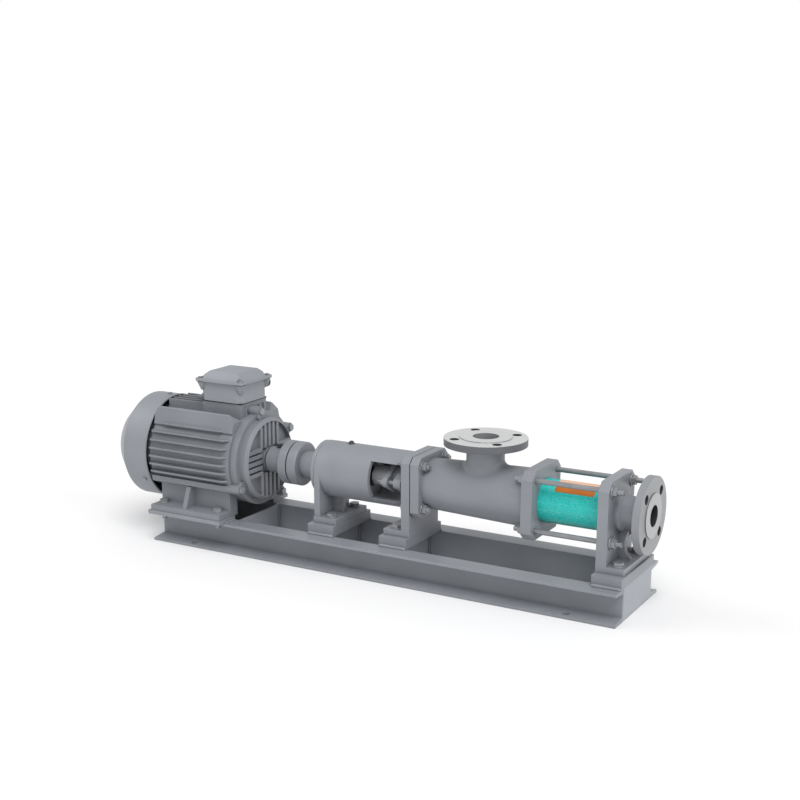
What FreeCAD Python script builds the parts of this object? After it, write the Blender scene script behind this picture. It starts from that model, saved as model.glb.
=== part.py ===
"""Progressive cavity pump with its electric motor, coupling and base frame.

Millimetres. The origin is the middle of the base's underside, +X runs from the motor to the
outlet along the shaft, -Y is the front and +Z is up. Every driving dimension is a cell of the
sheet "Sizes". Places along the shaft are cells of the sheet "Stations", worked out from them.
"""
import FreeCAD
import Part
import math
import os
from types import SimpleNamespace

import Sketcher

SIZES = (
    # Base frame of two channels
    ("base_length", 1035, "length of the base"),
    ("base_width", 220, "width over the channel flanges"),
    ("channel_height", 63, "height of the channel section"),
    ("channel_flange", 40, "width of a channel flange"),
    ("channel_web", 4.8, "thickness of a channel web"),
    ("channel_tip", 5, "thickness of a flange at its tip"),
    ("channel_root", 9, "thickness of a flange at its web"),
    ("anchor_spacing_x", 840, "anchor holes along the base"),
    ("anchor_spacing_y", 194, "anchor holes across the base"),
    ("anchor_hole", 14, "diameter of an anchor hole"),
    ("plate_thickness", 5, "end and cross plates in the trough"),
    ("foot_pad_height", 20, "bars welded under the pump feet"),
    ("bearing_pad_length", 60, "bar under a bearing housing foot"),
    ("bearing_pad_width", 146, "bar under a bearing housing foot"),
    ("outlet_pad_width", 168, "bar under the outlet foot"),
    # Motor outline, frame size 112
    ("motor_centre_height", 112, "shaft centre over the motor's feet"),
    ("motor_pad_height", 8, "flat bar under a motor foot"),
    ("motor_pad_length", 185, "flat bar under a motor foot"),
    ("motor_pad_overhang", 15, "flat bar past the channel's edge"),
    ("foot_spacing_x", 140, "motor foot holes along the shaft"),
    ("foot_spacing_y", 190, "motor foot holes across the shaft"),
    ("foot_hole", 12, "diameter of a motor foot hole"),
    ("foot_width", 245, "width over the motor feet"),
    ("foot_length", 177, "length of a motor foot"),
    ("foot_thickness", 12, "thickness of a motor foot"),
    ("shoulder_to_hole", 70, "motor shaft shoulder to the front foot hole"),
    ("shaft_extension", 60, "motor shaft beyond its shoulder"),
    ("motor_shaft_diameter", 28, "motor shaft end"),
    ("frame_length", 201, "finned frame of the motor"),
    ("frame_radius", 97, "outside of the frame above and below"),
    ("frame_bore", 87, "inside radius of the frame"),
    ("wall_radius", 103.5, "outside of the frame behind the side fins"),
    ("fin_radius", 114, "over the side fins"),
    ("fin_thickness", 3.2, "cooling fin"),
    ("fin_pitch", 16.8, "cooling fins apart"),
    ("shield_depth", 33.5, "frame end to the shaft shoulder"),
    ("shield_radius", 98, "flange of an end shield"),
    ("shield_flange", 15.5, "thickness of an end shield's flange"),
    ("shield_spigot", 8, "end shield into the frame's bore"),
    ("shield_cap_radius", 86, "raised middle of the drive end shield"),
    ("shield_bolt_circle", 103, "radius to the end shield bolts"),
    ("ear_height", 22, "bolt ears of the drive end shield"),
    ("core_length", 135, "stator and rotor cores of the motor"),
    ("air_gap", 0.4, "between the motor's cores"),
    ("winding_clearance", 2, "winding heads to the end shields"),
    ("motor_rotor_radius", 54, "rotor core of the motor"),
    ("cover_radius", 111, "outside of the fan cover"),
    ("cover_wall", 2, "sheet of the fan cover"),
    ("cover_length", 106, "fan cover"),
    ("cover_gap", 6, "frame end to the fan cover's rim"),
    ("cover_band", 60, "straight part of the fan cover"),
    ("cover_screw", 18, "fan cover's rim to its screws"),
    ("fan_radius", 88, "tips of the fan blades"),
    ("fan_hub", 20, "radius of the fan's hub"),
    ("fan_length", 34, "fan along the shaft"),
    # Terminal box
    ("box_length", 103, "terminal box along the shaft"),
    ("box_width", 96, "terminal box across the shaft"),
    ("box_height", 39, "terminal box without its lid"),
    ("box_wall", 4, "wall of the terminal box"),
    ("box_seat", 120, "underside of the box over the shaft centre"),
    ("box_chamfer", 11, "upright corners of the terminal box"),
    ("box_from_shield", 54, "drive end of the frame to the middle of the box"),
    ("lid_overhang", 9, "lid past the box on each side"),
    ("lid_flange", 5, "edge of the lid"),
    ("lid_height", 20, "lid of the terminal box"),
    # Coupling
    ("coupling_gap", 2.5, "between the coupling halves"),
    ("coupling_disc_radius", 45.2, "coupling disc"),
    ("coupling_hub_radius", 27, "coupling hub"),
    ("motor_half_length", 60, "coupling half on the motor shaft"),
    ("pump_half_length", 58, "coupling half on the pump shaft"),
    ("disc_length", 21, "rim of a coupling half"),
    ("hub_to_shield", 5.5, "motor half to the motor shaft's shoulder"),
    ("hub_to_cover", 3, "pump half to the bearing cover"),
    # Bearing housing
    ("cover_thickness", 13, "bearing cover"),
    ("bearing_cover_radius", 55.5, "bearing cover"),
    ("housing_length", 221, "bearing housing without its cover"),
    ("housing_radius", 56.5, "outside of the bearing housing"),
    ("barrel_length", 126, "closed part of the bearing housing"),
    ("window_height", 76, "opening to the packing gland"),
    ("window_cavity", 47, "inside radius behind the window"),
    ("bearing_outer", 36, "outer radius of the pump bearings"),
    ("bearing_width", 19, "width of a pump bearing"),
    ("bearing_seat", 15, "shaft radius at the pump bearings"),
    ("bracket_side", 120, "square flange of the housing"),
    ("bracket_thickness", 18, "square flange of the housing"),
    ("bracket_chamfer", 12, "corners of the housing's square flange"),
    ("bracket_bolt", 42.5, "bolts of the square flange off the axes"),
    ("foot_height", 12, "foot flange of the castings"),
    ("foot_flange_length", 57, "foot flange of the bearing housing"),
    ("leg_thickness", 13, "left leg of the bearing housing"),
    ("foot_bolt_y", 44, "bearing housing foot bolts off the shaft"),
    # Shaft seal
    ("sleeve_radius", 20, "shaft where the packing runs"),
    ("packing_section", 5, "square packing ring"),
    ("packing_count", 5, "packing rings"),
    ("stuffing_radius", 30, "outside of the stuffing box"),
    ("gland_bolt_y", 38, "gland studs off the shaft"),
    ("gland_flange", 10.5, "thickness of the gland follower"),
    ("gland_gap", 14, "gland follower to the stuffing box flange"),
    ("stuffing_flange", 16, "flange of the stuffing box"),
    ("stuffing_reach", 42.5, "stuffing box flange past the joint face"),
    # Suction casing
    ("inlet_x", 206.5, "inlet axis from the middle of the base"),
    ("inlet_height", 107, "inlet flange face over the shaft centre"),
    ("inlet_bore", 25, "radius of the inlet"),
    ("inlet_flange_radius", 80, "inlet flange"),
    ("inlet_flange", 16, "thickness of the inlet flange"),
    ("inlet_pcd", 125, "bolt circle of the inlet flange"),
    ("inlet_neck", 36.5, "outside radius of the inlet neck"),
    ("flange_hole", 18, "bolt holes of both flanges"),
    ("casing_left", 130, "inlet axis to the casing's left face"),
    ("casing_right", 126, "inlet axis to the casing's right face"),
    ("casing_left_radius", 50, "casing beside the left flange"),
    ("casing_right_radius", 57, "casing beside the right flange"),
    ("casing_wall", 8, "wall of the suction casing"),
    ("gasket", 2, "gasket at the housing joint"),
    # Stator
    ("end_plate_side", 132, "square flange at the stator"),
    ("end_plate_thickness", 22, "square flange at the stator"),
    ("end_plate_chamfer", 15, "corners of the square flange"),
    ("tie_rod_offset", 48, "tie rods off the axes"),
    ("tie_rod_radius", 4.9, "tie rods"),
    ("stator_radius", 41.5, "stator tube"),
    ("stator_wall", 4, "steel of the stator tube"),
    ("stator_visible", 127, "stator tube between its two plates"),
    ("stator_seat", 9, "stator tube into each plate"),
    ("eccentricity", 5, "rotor axis from the stator axis"),
    ("rotor_radius", 15, "round section of the rotor"),
    ("rotor_pitch", 68, "one turn of the rotor"),
    ("bore_clearance", 0.25, "rotor to the lining, in place of an interference"),
    ("rotor_overhang", 6, "rotor past the lining at the outlet"),
    # Joint rod
    ("joint_centre", 76, "left joint from the inlet axis"),
    ("rod_length", 148, "between the two joints"),
    ("rod_radius", 11, "joint rod"),
    ("rod_end_radius", 13, "ends of the joint rod"),
    ("joint_head_radius", 23, "heads around the rod's ends"),
    ("joint_bore_radius", 14.2, "bores of the joint heads"),
    ("joint_pin_radius", 5, "pins of the joints"),
    ("joint_pin_play", 1, "hole in the rod over its pin"),
    ("boot_wall", 2.5, "rubber boot over a joint"),
    # Outlet casing
    ("outlet_plate", 20, "upright plate of the outlet casing"),
    ("outlet_length", 62, "upright plate to the outlet face"),
    ("outlet_bore", 20, "radius of the outlet"),
    ("outlet_flange_radius", 72.5, "outlet flange"),
    ("outlet_flange", 16, "thickness of the outlet flange"),
    ("outlet_pcd", 110, "bolt circle of the outlet flange"),
    ("nozzle_radius", 30, "outside of the outlet nozzle"),
    ("outlet_foot_length", 50, "foot flange of the outlet casing"),
    ("outlet_bolt_y", 48, "outlet foot bolts off the shaft"),
    ("raised_face", 2, "raised face of both flanges"),
    # Clearances
    ("hole_play", 0.5, "bolt holes over their bolts, on the radius"),
    ("running_play", 0.05, "shafts in bearings and seals, on the radius"),
    ("free_play", 0.4, "between parts that turn past each other"),
)

doc = FreeCAD.newDocument("progressive_cavity_pump")
nodes = []


class Size:
    """A length: its value in millimetres and the formula that ties it to the sheets."""

    def __init__(self, value, text):
        self.value = float(value)
        self.text = text

    def __float__(self):
        return self.value

    def __add__(self, other):
        other = as_size(other)
        return Size(self.value + other.value, f"({self.text} + {other.text})")

    def __sub__(self, other):
        other = as_size(other)
        return Size(self.value - other.value, f"({self.text} - {other.text})")

    def __mul__(self, other):
        other = as_size(other)
        return Size(self.value * other.value, f"({self.text} * {other.text})")

    def __truediv__(self, other):
        other = as_size(other)
        return Size(self.value / other.value, f"({self.text} / {other.text})")

    def __neg__(self):
        return Size(-self.value, f"(0 - {self.text})")

    def __radd__(self, other):
        return as_size(other) + self

    def __rsub__(self, other):
        return as_size(other) - self

    def __rmul__(self, other):
        return as_size(other) * self


def as_size(number):
    """Give a plain number the form of a Size."""
    if isinstance(number, Size):
        return number
    return Size(number, f"({number})")


def root(size):
    """Square root of a Size."""
    return Size(math.sqrt(size.value), f"sqrt({size.text})")


class Sheet:
    """A spreadsheet that fills up row by row and hands out its cells as Sizes."""

    def __init__(self, name):
        self.sheet = doc.addObject("Spreadsheet::Sheet", name)
        self.name = name
        self.row = 0

    def add(self, alias, size, text, note):
        self.row += 1
        self.sheet.set(f"A{self.row}", note)
        self.sheet.set(f"B{self.row}", text)
        self.sheet.setAlias(f"B{self.row}", alias)
        return Size(size, f"{self.name}.{alias}")


sizes_sheet = Sheet("Sizes")
S = SimpleNamespace(**{
    alias: sizes_sheet.add(alias, value, str(value), note) for alias, value, note in SIZES
})
stations_sheet = Sheet("Stations")


def station(alias, size, note):
    """Keep a worked out place in the sheet of stations."""
    return stations_sheet.add(alias, float(size), "=" + size.text, note)


# Levels
AXIS = station("axis_z", S.channel_height + S.motor_pad_height + S.motor_centre_height, "shaft")
DECK = S.channel_height
PAD_TOP = station("pad_top", DECK + S.foot_pad_height, "top of the bars under the pump")
# Places along the shaft, from the inlet to the left
CASING_L = station("casing_left_face", S.inlet_x - S.casing_left, "suction casing, left face")
BRACKET_R = station("bracket_right", CASING_L - S.gasket, "bearing housing, right face")
BRACKET_L = station("bracket_left", BRACKET_R - S.bracket_thickness, "square flange, left")
HOUSING_L = station("housing_left", BRACKET_R - S.housing_length, "bearing housing, left face")
BARREL_R = station("barrel_right", HOUSING_L + S.barrel_length, "end of the closed part")
COVER_L = station("cover_left", HOUSING_L - S.cover_thickness, "bearing cover, left face")
PUMP_HUB_R = station("pump_hub_right", COVER_L - S.hub_to_cover, "pump half, right end")
PUMP_DISC_L = station("pump_disc_left", PUMP_HUB_R - S.pump_half_length, "pump half, left end")
MOTOR_DISC_R = station("motor_disc_right", PUMP_DISC_L - S.coupling_gap, "motor half, right")
MOTOR_HUB_L = station("motor_hub_left", MOTOR_DISC_R - S.motor_half_length, "motor half, left")
SHOULDER = station("motor_shoulder", MOTOR_HUB_L - S.hub_to_shield, "motor shaft shoulder")
FRONT_HOLE = station("front_hole", SHOULDER - S.shoulder_to_hole, "front motor foot holes")
REAR_HOLE = station("rear_hole", FRONT_HOLE - S.foot_spacing_x, "rear motor foot holes")
FRAME_R = station("frame_right", SHOULDER - S.shield_depth, "motor frame, right end")
FRAME_L = station("frame_left", FRAME_R - S.frame_length, "motor frame, left end")
RIM = station("cover_rim", FRAME_L - S.cover_gap, "open edge of the fan cover")
CORE_MID = station("core_middle", (FRAME_L + FRAME_R) / 2, "middle of the motor's cores")
# Places along the shaft, from the inlet to the right
CASING_R = station("casing_right_face", S.inlet_x + S.casing_right, "suction casing, right face")
END_PLATE_L = station("end_plate_left", CASING_R - S.end_plate_thickness, "square flange, left")
STATOR_L = station("stator_left", CASING_R - S.stator_seat, "stator tube, left end")
OUTLET_L = station("outlet_left", CASING_R + S.stator_visible, "upright plate, left face")
OUTLET_R = station("outlet_right", OUTLET_L + S.outlet_plate, "upright plate, right face")
STATOR_R = station("stator_right", OUTLET_L + S.stator_seat, "stator tube, right end")
OUTLET_FACE = station("outlet_face", OUTLET_R + S.outlet_length, "outlet flange face")
# The two joints of the rod
JOINT_A = station("joint_left", S.inlet_x - S.joint_centre, "joint at the pump shaft")
JOINT_B = station("joint_right", JOINT_A + S.rod_length, "joint at the rotor")
# Cut edges lie this far outside what they cut, so that no two faces coincide
OVERCUT = 1.0

TURN = {
    "X": FreeCAD.Rotation(FreeCAD.Vector(0, 1, 0), 90),
    "Y": FreeCAD.Rotation(FreeCAD.Vector(1, 0, 0), -90),
    "Z": FreeCAD.Rotation(),
    "-X": FreeCAD.Rotation(FreeCAD.Vector(0, 1, 0), -90),
    "-Y": FreeCAD.Rotation(FreeCAD.Vector(1, 0, 0), 90),
    "-Z": FreeCAD.Rotation(FreeCAD.Vector(1, 0, 0), 180),
}


def vector(x, y, z):
    """FreeCAD vector of three lengths."""
    return FreeCAD.Vector(float(x), float(y), float(z))


def bind(thing, **formulas):
    """Tie properties of an object to the sheets."""
    for name, size in formulas.items():
        thing.setExpression(name, as_size(size).text)


def place(thing, x, y, z, rotation=None):
    """Put an object at three sizes, with a fixed turn."""
    if rotation is not None:
        thing.Placement = FreeCAD.Placement(vector(x, y, z), rotation)
    for name, size in zip(("x", "y", "z"), (x, y, z)):
        thing.setExpression(f"Placement.Base.{name}", as_size(size).text)


def node(thing, label):
    """Keep an object as a piece of the pump, under its own label."""
    thing.Label = label
    nodes.append(thing)
    return thing


def cylinder(radius, length, x, y=0, z=AXIS, along="X"):
    """Round bar that starts at a point and runs along an axis."""
    bar = doc.addObject("Part::Cylinder", "bar")
    bind(bar, Radius=radius, Height=length)
    place(bar, x, y, z, TURN[along])
    return bar


def cone(radius_start, radius_end, length, x, y=0, z=AXIS, along="X"):
    """Round taper that starts at a point and runs along an axis."""
    taper = doc.addObject("Part::Cone", "taper")
    bind(taper, Radius1=radius_start, Radius2=radius_end, Height=length)
    place(taper, x, y, z, TURN[along])
    return taper


def box(x, y, z, length, width, height):
    """Block with its low corner at a point."""
    block = doc.addObject("Part::Box", "block")
    bind(block, Length=length, Width=width, Height=height)
    place(block, x, y, z)
    return block


def bar_across(x, z, length, width, height):
    """Block that lies symmetrically across the shaft."""
    return box(x, -as_size(width) / 2, z, length, width, height)


def fuse(*things):
    """Join shapes into one."""
    joined = doc.addObject("Part::MultiFuse", "joined")
    joined.Shapes = list(things)
    joined.Refine = True
    return joined


def common(base, tool):
    """Keep what two shapes share."""
    shared = doc.addObject("Part::Common", "shared")
    shared.Base = base
    shared.Tool = tool
    return shared


def cut(base, *tools):
    """Take shapes away from another."""
    result = doc.addObject("Part::Cut", "cut")
    result.Base = base
    result.Tool = tools[0] if len(tools) == 1 else group(*tools)
    result.Refine = True
    return result


def group(*things):
    """Hold separate shapes together in one object."""
    held = doc.addObject("Part::Compound", "set")
    held.Links = list(things)
    return held


def sketched_body(plane, outline, name):
    """Body with a closed outline whose every corner is tied to the sheets."""
    body = doc.addObject("PartDesign::Body", name)
    sketch = body.newObject("Sketcher::SketchObject", name + "_outline")
    origin_plane = [f for f in body.Origin.OriginFeatures if f.Role == plane][0]
    sketch.AttachmentSupport = (origin_plane, "")
    sketch.MapMode = "FlatFace"
    corners = [(as_size(u), as_size(v)) for u, v in outline]
    ends = corners[1:] + corners[:1]
    for (u1, v1), (u2, v2) in zip(corners, ends):
        sketch.addGeometry(Part.LineSegment(vector(u1, v1, 0), vector(u2, v2, 0)), False)
    for i in range(len(corners)):
        sketch.addConstraint(Sketcher.Constraint("Coincident", i, 2, (i + 1) % len(corners), 1))
    for i, (u, v) in enumerate(corners):
        for kind, size in (("DistanceX", u), ("DistanceY", v)):
            index = sketch.addConstraint(Sketcher.Constraint(kind, -1, 1, i, 1, float(size)))
            sketch.setExpression(f"Constraints[{index}]", size.text)
    return body, sketch


def turned(name, outline, x=0, y=0, z=AXIS):
    """Body turned about a line along X: the outline gives places along X and radii."""
    body, sketch = sketched_body("XZ_Plane", outline, name)
    turn = body.newObject("PartDesign::Revolution", name + "_turn")
    turn.Profile = sketch
    turn.ReferenceAxis = (sketch, ["H_Axis"])
    turn.Angle = 360
    sketch.Visibility = False
    place(body, x, y, z)
    return body


PLANES = {"X": "YZ_Plane", "Y": "XZ_Plane", "Z": "XY_Plane"}


def extruded(name, along, outline, length, x=0, y=0, z=0):
    """Body of an outline drawn in the plane across an axis and drawn out along it."""
    body, sketch = sketched_body(PLANES[along], outline, name)
    pad = body.newObject("PartDesign::Pad", name + "_pad")
    pad.Profile = sketch
    bind(pad, Length=length)
    pad.Reversed = along == "Y"
    place(body, x, y, z)
    return body


def rounded(thing, radius, test):
    """Round the edges of a finished shape that a test picks."""
    doc.recompute()
    picked = [i + 1 for i, edge in enumerate(thing.Shape.Edges) if test(edge)]
    smooth = doc.addObject("Part::Fillet", "rounded")
    smooth.Base = thing
    smooth.Edges = [(i, float(radius), float(radius)) for i in picked]
    return smooth


def chamfered_square(name, x, thickness, side, chamfer):
    """Square plate across the shaft with its four corners cut off."""
    half = side / 2
    inner = half - chamfer
    outline = (
        (-inner, -half), (inner, -half), (half, -inner), (half, inner),
        (inner, half), (-inner, half), (-half, inner), (-half, -inner),
    )
    return extruded(name, "X", outline, thickness, x=x, z=AXIS)


def corners(offset_y, offset_z=None):
    """Four places about the shaft, as (y, z)."""
    offset_z = offset_y if offset_z is None else offset_z
    return [(sy * offset_y, AXIS + sz * offset_z) for sy in (-1, 1) for sz in (-1, 1)]


def around(radius, degrees):
    """Place at an angle about the shaft, measured from +Y towards +Z."""
    return (radius * math.cos(math.radians(degrees)), AXIS + radius * math.sin(math.radians(degrees)))


def hexagon(flats, length, x, y, z, along):
    """Hexagon bar, given by its width over flats."""
    prism = doc.addObject("Part::Prism", "hexagon")
    prism.Polygon = 6
    bind(prism, Circumradius=as_size(flats) / math.sqrt(3), Height=length)
    place(prism, x, y, z, TURN[along])
    return prism


OPPOSITE = {"X": "-X", "-X": "X", "Y": "-Y", "-Y": "Y", "Z": "-Z", "-Z": "Z"}
FLATS = {3: 5.5, 4: 7, 5: 8, 6: 10, 8: 13, 10: 16, 12: 18}


def bolt(diameter, shank, x, y, z, points):
    """Hexagon bolt: its head sits on the point and its shank runs the way it points."""
    head = hexagon(FLATS[diameter], diameter * 0.64, x, y, z, OPPOSITE[points])
    return fuse(head, cylinder(diameter / 2, shank, x, y, z, points))


def stud_hole(radius, length, x, y, z, along):
    """Tool for a bolt hole, a little wider than its bolt."""
    return cylinder(as_size(radius) + S.hole_play, length, x, y, z, along)


def ring(inner, outer, start, length, z=AXIS):
    """Plain ring about the shaft."""
    end = start + length
    return turned("ring", ((start, inner), (end, inner), (end, outer), (start, outer)), z=z)


# Base frame

WEB_BACK = S.base_width / 2 - S.channel_flange


def channel(side, name):
    """Rolled channel with tapered flanges, its web towards the middle."""
    back = side * WEB_BACK
    face = side * (WEB_BACK + S.channel_web)
    tip = side * (S.base_width / 2)
    outline = (
        (back, 0), (tip, 0), (tip, S.channel_tip), (face, S.channel_root),
        (face, S.channel_height - S.channel_root), (tip, S.channel_height - S.channel_tip),
        (tip, S.channel_height), (back, S.channel_height),
    )
    beam = extruded(name, "X", outline, S.base_length, x=-S.base_length / 2)
    anchors = [
        cylinder(S.anchor_hole / 2, S.channel_height / 2, end * S.anchor_spacing_x / 2,
                 side * S.anchor_spacing_y / 2, as_size(-OVERCUT), "Z")
        for end in (-1, 1)
    ]
    motor_holes = [
        stud_hole(5, S.channel_height / 2, x, side * S.foot_spacing_y / 2,
                  S.channel_height / 2, "Z")
        for x in (REAR_HOLE, FRONT_HOLE)
    ]
    return cut(beam, *anchors, *motor_holes)


node(channel(-1, "front_channel"), "base_channel_front")
node(channel(1, "rear_channel"), "base_channel_rear")


def trough_plate(x):
    """Upright plate between the two webs."""
    return bar_across(x, 0, S.plate_thickness, WEB_BACK * 2, S.channel_height)


LEFT_PAD = HOUSING_L - 4
RIGHT_PAD = BRACKET_R - S.bearing_pad_length
OUTLET_PAD = OUTLET_L
OUTLET_PAD_LENGTH = S.base_length / 2 - OUTLET_PAD

node(group(*[trough_plate(x) for x in (
    -S.base_length / 2, FRAME_R, LEFT_PAD + S.bearing_pad_length / 2,
    RIGHT_PAD + S.bearing_pad_length / 2, S.base_length / 2 - S.plate_thickness,
)]), "base_plates")


def motor_pad(side):
    """Flat bar between a motor foot and its channel."""
    width = S.channel_flange + S.motor_pad_overhang
    low = WEB_BACK if side > 0 else -(WEB_BACK + width)
    pad = box(-S.base_length / 2, low, DECK, S.motor_pad_length, width, S.motor_pad_height)
    holes = [
        stud_hole(5, S.motor_pad_height * 3, x, side * S.foot_spacing_y / 2,
                  DECK - S.motor_pad_height, "Z")
        for x in (REAR_HOLE, FRONT_HOLE)
    ]
    return cut(pad, *holes)


node(group(motor_pad(-1), motor_pad(1)), "motor_pads")


def foot_pad(x, length, width, bolt_x, bolt_y):
    """Bar under a pump foot, with two tapped holes."""
    bar = bar_across(x, DECK, length, width, S.foot_pad_height)
    holes = [
        cylinder(6 + S.running_play, S.foot_pad_height, bolt_x, side * bolt_y, DECK + 4, "Z")
        for side in (-1, 1)
    ]
    return cut(bar, *holes)


LEFT_BOLT = HOUSING_L + S.foot_flange_length * 0.62
RIGHT_BOLT = BRACKET_R - S.foot_flange_length * 0.62
OUTLET_BOLT = OUTLET_R + S.outlet_foot_length * 0.34
node(group(
    foot_pad(LEFT_PAD, S.bearing_pad_length, S.bearing_pad_width, LEFT_BOLT, S.foot_bolt_y),
    foot_pad(RIGHT_PAD, S.bearing_pad_length, S.bearing_pad_width, RIGHT_BOLT, S.foot_bolt_y),
    foot_pad(OUTLET_PAD, OUTLET_PAD_LENGTH, S.outlet_pad_width, OUTLET_BOLT, S.outlet_bolt_y),
), "foot_pads")


# Motor

MOTOR_FOOT = DECK + S.motor_pad_height


FIN_STEPS = (-1.85, -0.85, 0.15, 1.15, 2.15, 3.15)
SHORT_FIN_STEP = 4.1
SHORT_FIN_SHARE = 0.80
FIN_BEVEL = 9
WALL_LOW = 48
WALL_HIGH = 70
BAND_TOP = -42
FOOT_PAST_HOLE = 13
BOX_MID = FRAME_R - S.box_from_shield
SEAT_Z = AXIS + S.box_seat
BOX_L = BOX_MID - S.box_length / 2
EYE_X = BOX_L - 22
EAR_ANGLES = (98, 27, -56, -152)
EAR_RADIUS = 10
EAR_DEPTH = 9


def side_fin(side, z_offset, start, end):
    """Level cooling fin with bevelled ends, its tip on the fin circle."""
    reach = root(S.fin_radius * S.fin_radius - z_offset * z_offset)
    base = reach - FIN_BEVEL
    outline = (
        (start, side * reach * 0.7), (start, side * base), (start + FIN_BEVEL / 2, side * reach),
        (end - FIN_BEVEL, side * reach), (end, side * base), (end, side * reach * 0.7),
    )
    low = AXIS + z_offset - S.fin_thickness / 2
    return extruded("fin", "Z", outline, S.fin_thickness, z=low)


def top_fin(y):
    """Upright cooling fin on top of the frame."""
    height = S.fin_radius - 4
    return box(FRAME_L, y - S.fin_thickness / 2, AXIS, S.frame_length, S.fin_thickness, height)


def frame_panel(side):
    """Plain cast panel above the side fins, its upper corners cut off."""
    outline = ((40, 78), (70, 98), (74, 102), (77, 100), (86, 66), (70, 50))
    block = extruded("panel", "X", [(side * y, z) for y, z in outline], S.frame_length, x=FRAME_L,
                     z=AXIS)
    corner = 16
    cutters = []
    for x, run in ((FRAME_R, -corner), (FRAME_L, corner / 2)):
        beyond = -OVERCUT if run > 0 else OVERCUT
        triangle = (
            (x + run, AXIS + 104), (x + beyond, AXIS + 104),
            (x + beyond, AXIS + 102 - corner),
        )
        cutters.append(extruded("panel_corner", "Y", triangle, as_size(110), y=as_size(-55 + side * 85)))
    return cut(block, *cutters)


def frame_foot(side):
    """Cast foot with its riser, its middle rib and the band along the frame's lower edge."""
    half = S.foot_width / 2
    sole = S.motor_centre_height
    foot_outline = (
        (side * 58, -sole), (side * half, -sole), (side * half, -sole + S.foot_thickness),
        (side * 84, -sole + S.foot_thickness), (side * 84, -58), (side * 58, -58),
    )
    band_outline = (
        (side * 58, -62), (side * 92, -58), (side * 99, -54), (side * 101, BAND_TOP),
        (side * 70, BAND_TOP),
    )
    rib_outline = (
        (side * 80, -sole + S.foot_thickness), (side * (half - 6), -sole + S.foot_thickness),
        (side * 99, -57), (side * 80, -57),
    )
    rib_thickness = 10
    return fuse(
        extruded("foot", "X", foot_outline, S.foot_length, x=REAR_HOLE - FOOT_PAST_HOLE, z=AXIS),
        extruded("band", "X", band_outline, S.frame_length, x=FRAME_L, z=AXIS),
        extruded("rib", "X", rib_outline, rib_thickness,
                 x=(FRONT_HOLE + REAR_HOLE) / 2 - rib_thickness / 2, z=AXIS),
    )


def shield_ears(x, length):
    """Lugs for the bolts of the drive end shield."""
    lugs = []
    for angle in EAR_ANGLES:
        for radius in (S.shield_bolt_circle, S.shield_bolt_circle - EAR_RADIUS):
            lugs.append(cylinder(EAR_RADIUS, length, x, *around(radius, angle)))
    return lugs


def side_walls():
    """Round walls of the frame behind the side fins."""
    return common(
        cylinder(S.wall_radius, S.frame_length, FRAME_L),
        bar_across(FRAME_L, AXIS - WALL_LOW, S.frame_length, S.wall_radius * 2,
                   WALL_LOW + WALL_HIGH),
    )


def motor_frame():
    """Cast motor frame with fins, feet, lifting boss and box seat."""
    solids = [cylinder(S.frame_radius, S.frame_length, FRAME_L), side_walls()]
    short = S.frame_length * SHORT_FIN_SHARE / 2
    for side in (-1, 1):
        solids.append(side_fin(side, S.fin_pitch * SHORT_FIN_STEP, CORE_MID - short, CORE_MID + short))
        for step in FIN_STEPS:
            solids.append(side_fin(side, S.fin_pitch * step, FRAME_L, FRAME_R - FIN_BEVEL / 2))
        solids.append(frame_panel(side))
        solids.append(frame_foot(side))
    for y in (-32, -16, 0, 16, 32):
        solids.append(top_fin(as_size(y)))
    seat_low = S.frame_radius * 0.8
    seat_inset = 3
    solids.append(bar_across(BOX_L + seat_inset, AXIS + seat_low, S.box_length - 2 * seat_inset,
                             S.box_width - 2 * seat_inset, S.box_seat - seat_low))
    solids.append(bar_across(EYE_X - 14, AXIS + seat_low, 28, 30, S.box_seat - seat_low - 2))
    solids += shield_ears(FRAME_R - EAR_DEPTH, EAR_DEPTH)
    bore = cylinder(S.frame_bore, S.frame_length + 2 * OVERCUT, FRAME_L - OVERCUT)
    holes = [
        cylinder(4 + S.running_play, EAR_DEPTH + 6, FRAME_R - EAR_DEPTH - 6 + OVERCUT,
                 *around(S.shield_bolt_circle, angle))
        for angle in EAR_ANGLES
    ]
    holes += [
        cylinder(S.foot_hole / 2, S.foot_thickness + 2 * OVERCUT, x, side * S.foot_spacing_y / 2,
                 MOTOR_FOOT - OVERCUT, "Z")
        for x in (REAR_HOLE, FRONT_HOLE) for side in (-1, 1)
    ]
    wire_way = cylinder(16, S.box_seat, BOX_MID, 0, AXIS + S.frame_bore / 2, "Z")
    eye_hole = cylinder(5 + S.running_play, 20, EYE_X, 0, SEAT_Z - 16, "Z")
    return cut(fuse(*solids), bore, wire_way, eye_hole, *holes)


node(motor_frame(), "motor_frame")


BEARING_BORE = 31
MOTOR_BEARING_WIDTH = 16
DRIVE_BEARING = FRAME_R + 7
REAR_BEARING = FRAME_L - 20
CAP_FACE = SHOULDER + 1
FACE_RIM = 7
FACE_DEPTH = 10
FACE_HUB = 27


def face_ribs(start, length):
    """Ribs that cross the hollow of the drive end shield, upright above and below, level beside."""
    ribs = []
    reach = S.shield_cap_radius - FACE_RIM
    upright_pitch, upright = 14.5, 7
    level_pitch, level = 12.5, 8
    for step in (-2, -1, 0, 1, 2):
        for sign in (-1, 1):
            low = FACE_HUB if sign > 0 else -reach
            ribs.append(box(start, as_size(step * upright_pitch - upright / 2), AXIS + low,
                            length, upright, reach - FACE_HUB))
            ribs.append(box(start, as_size(low), AXIS + (step * level_pitch - level / 2),
                            length, reach - FACE_HUB, level))
    return ribs


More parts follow.
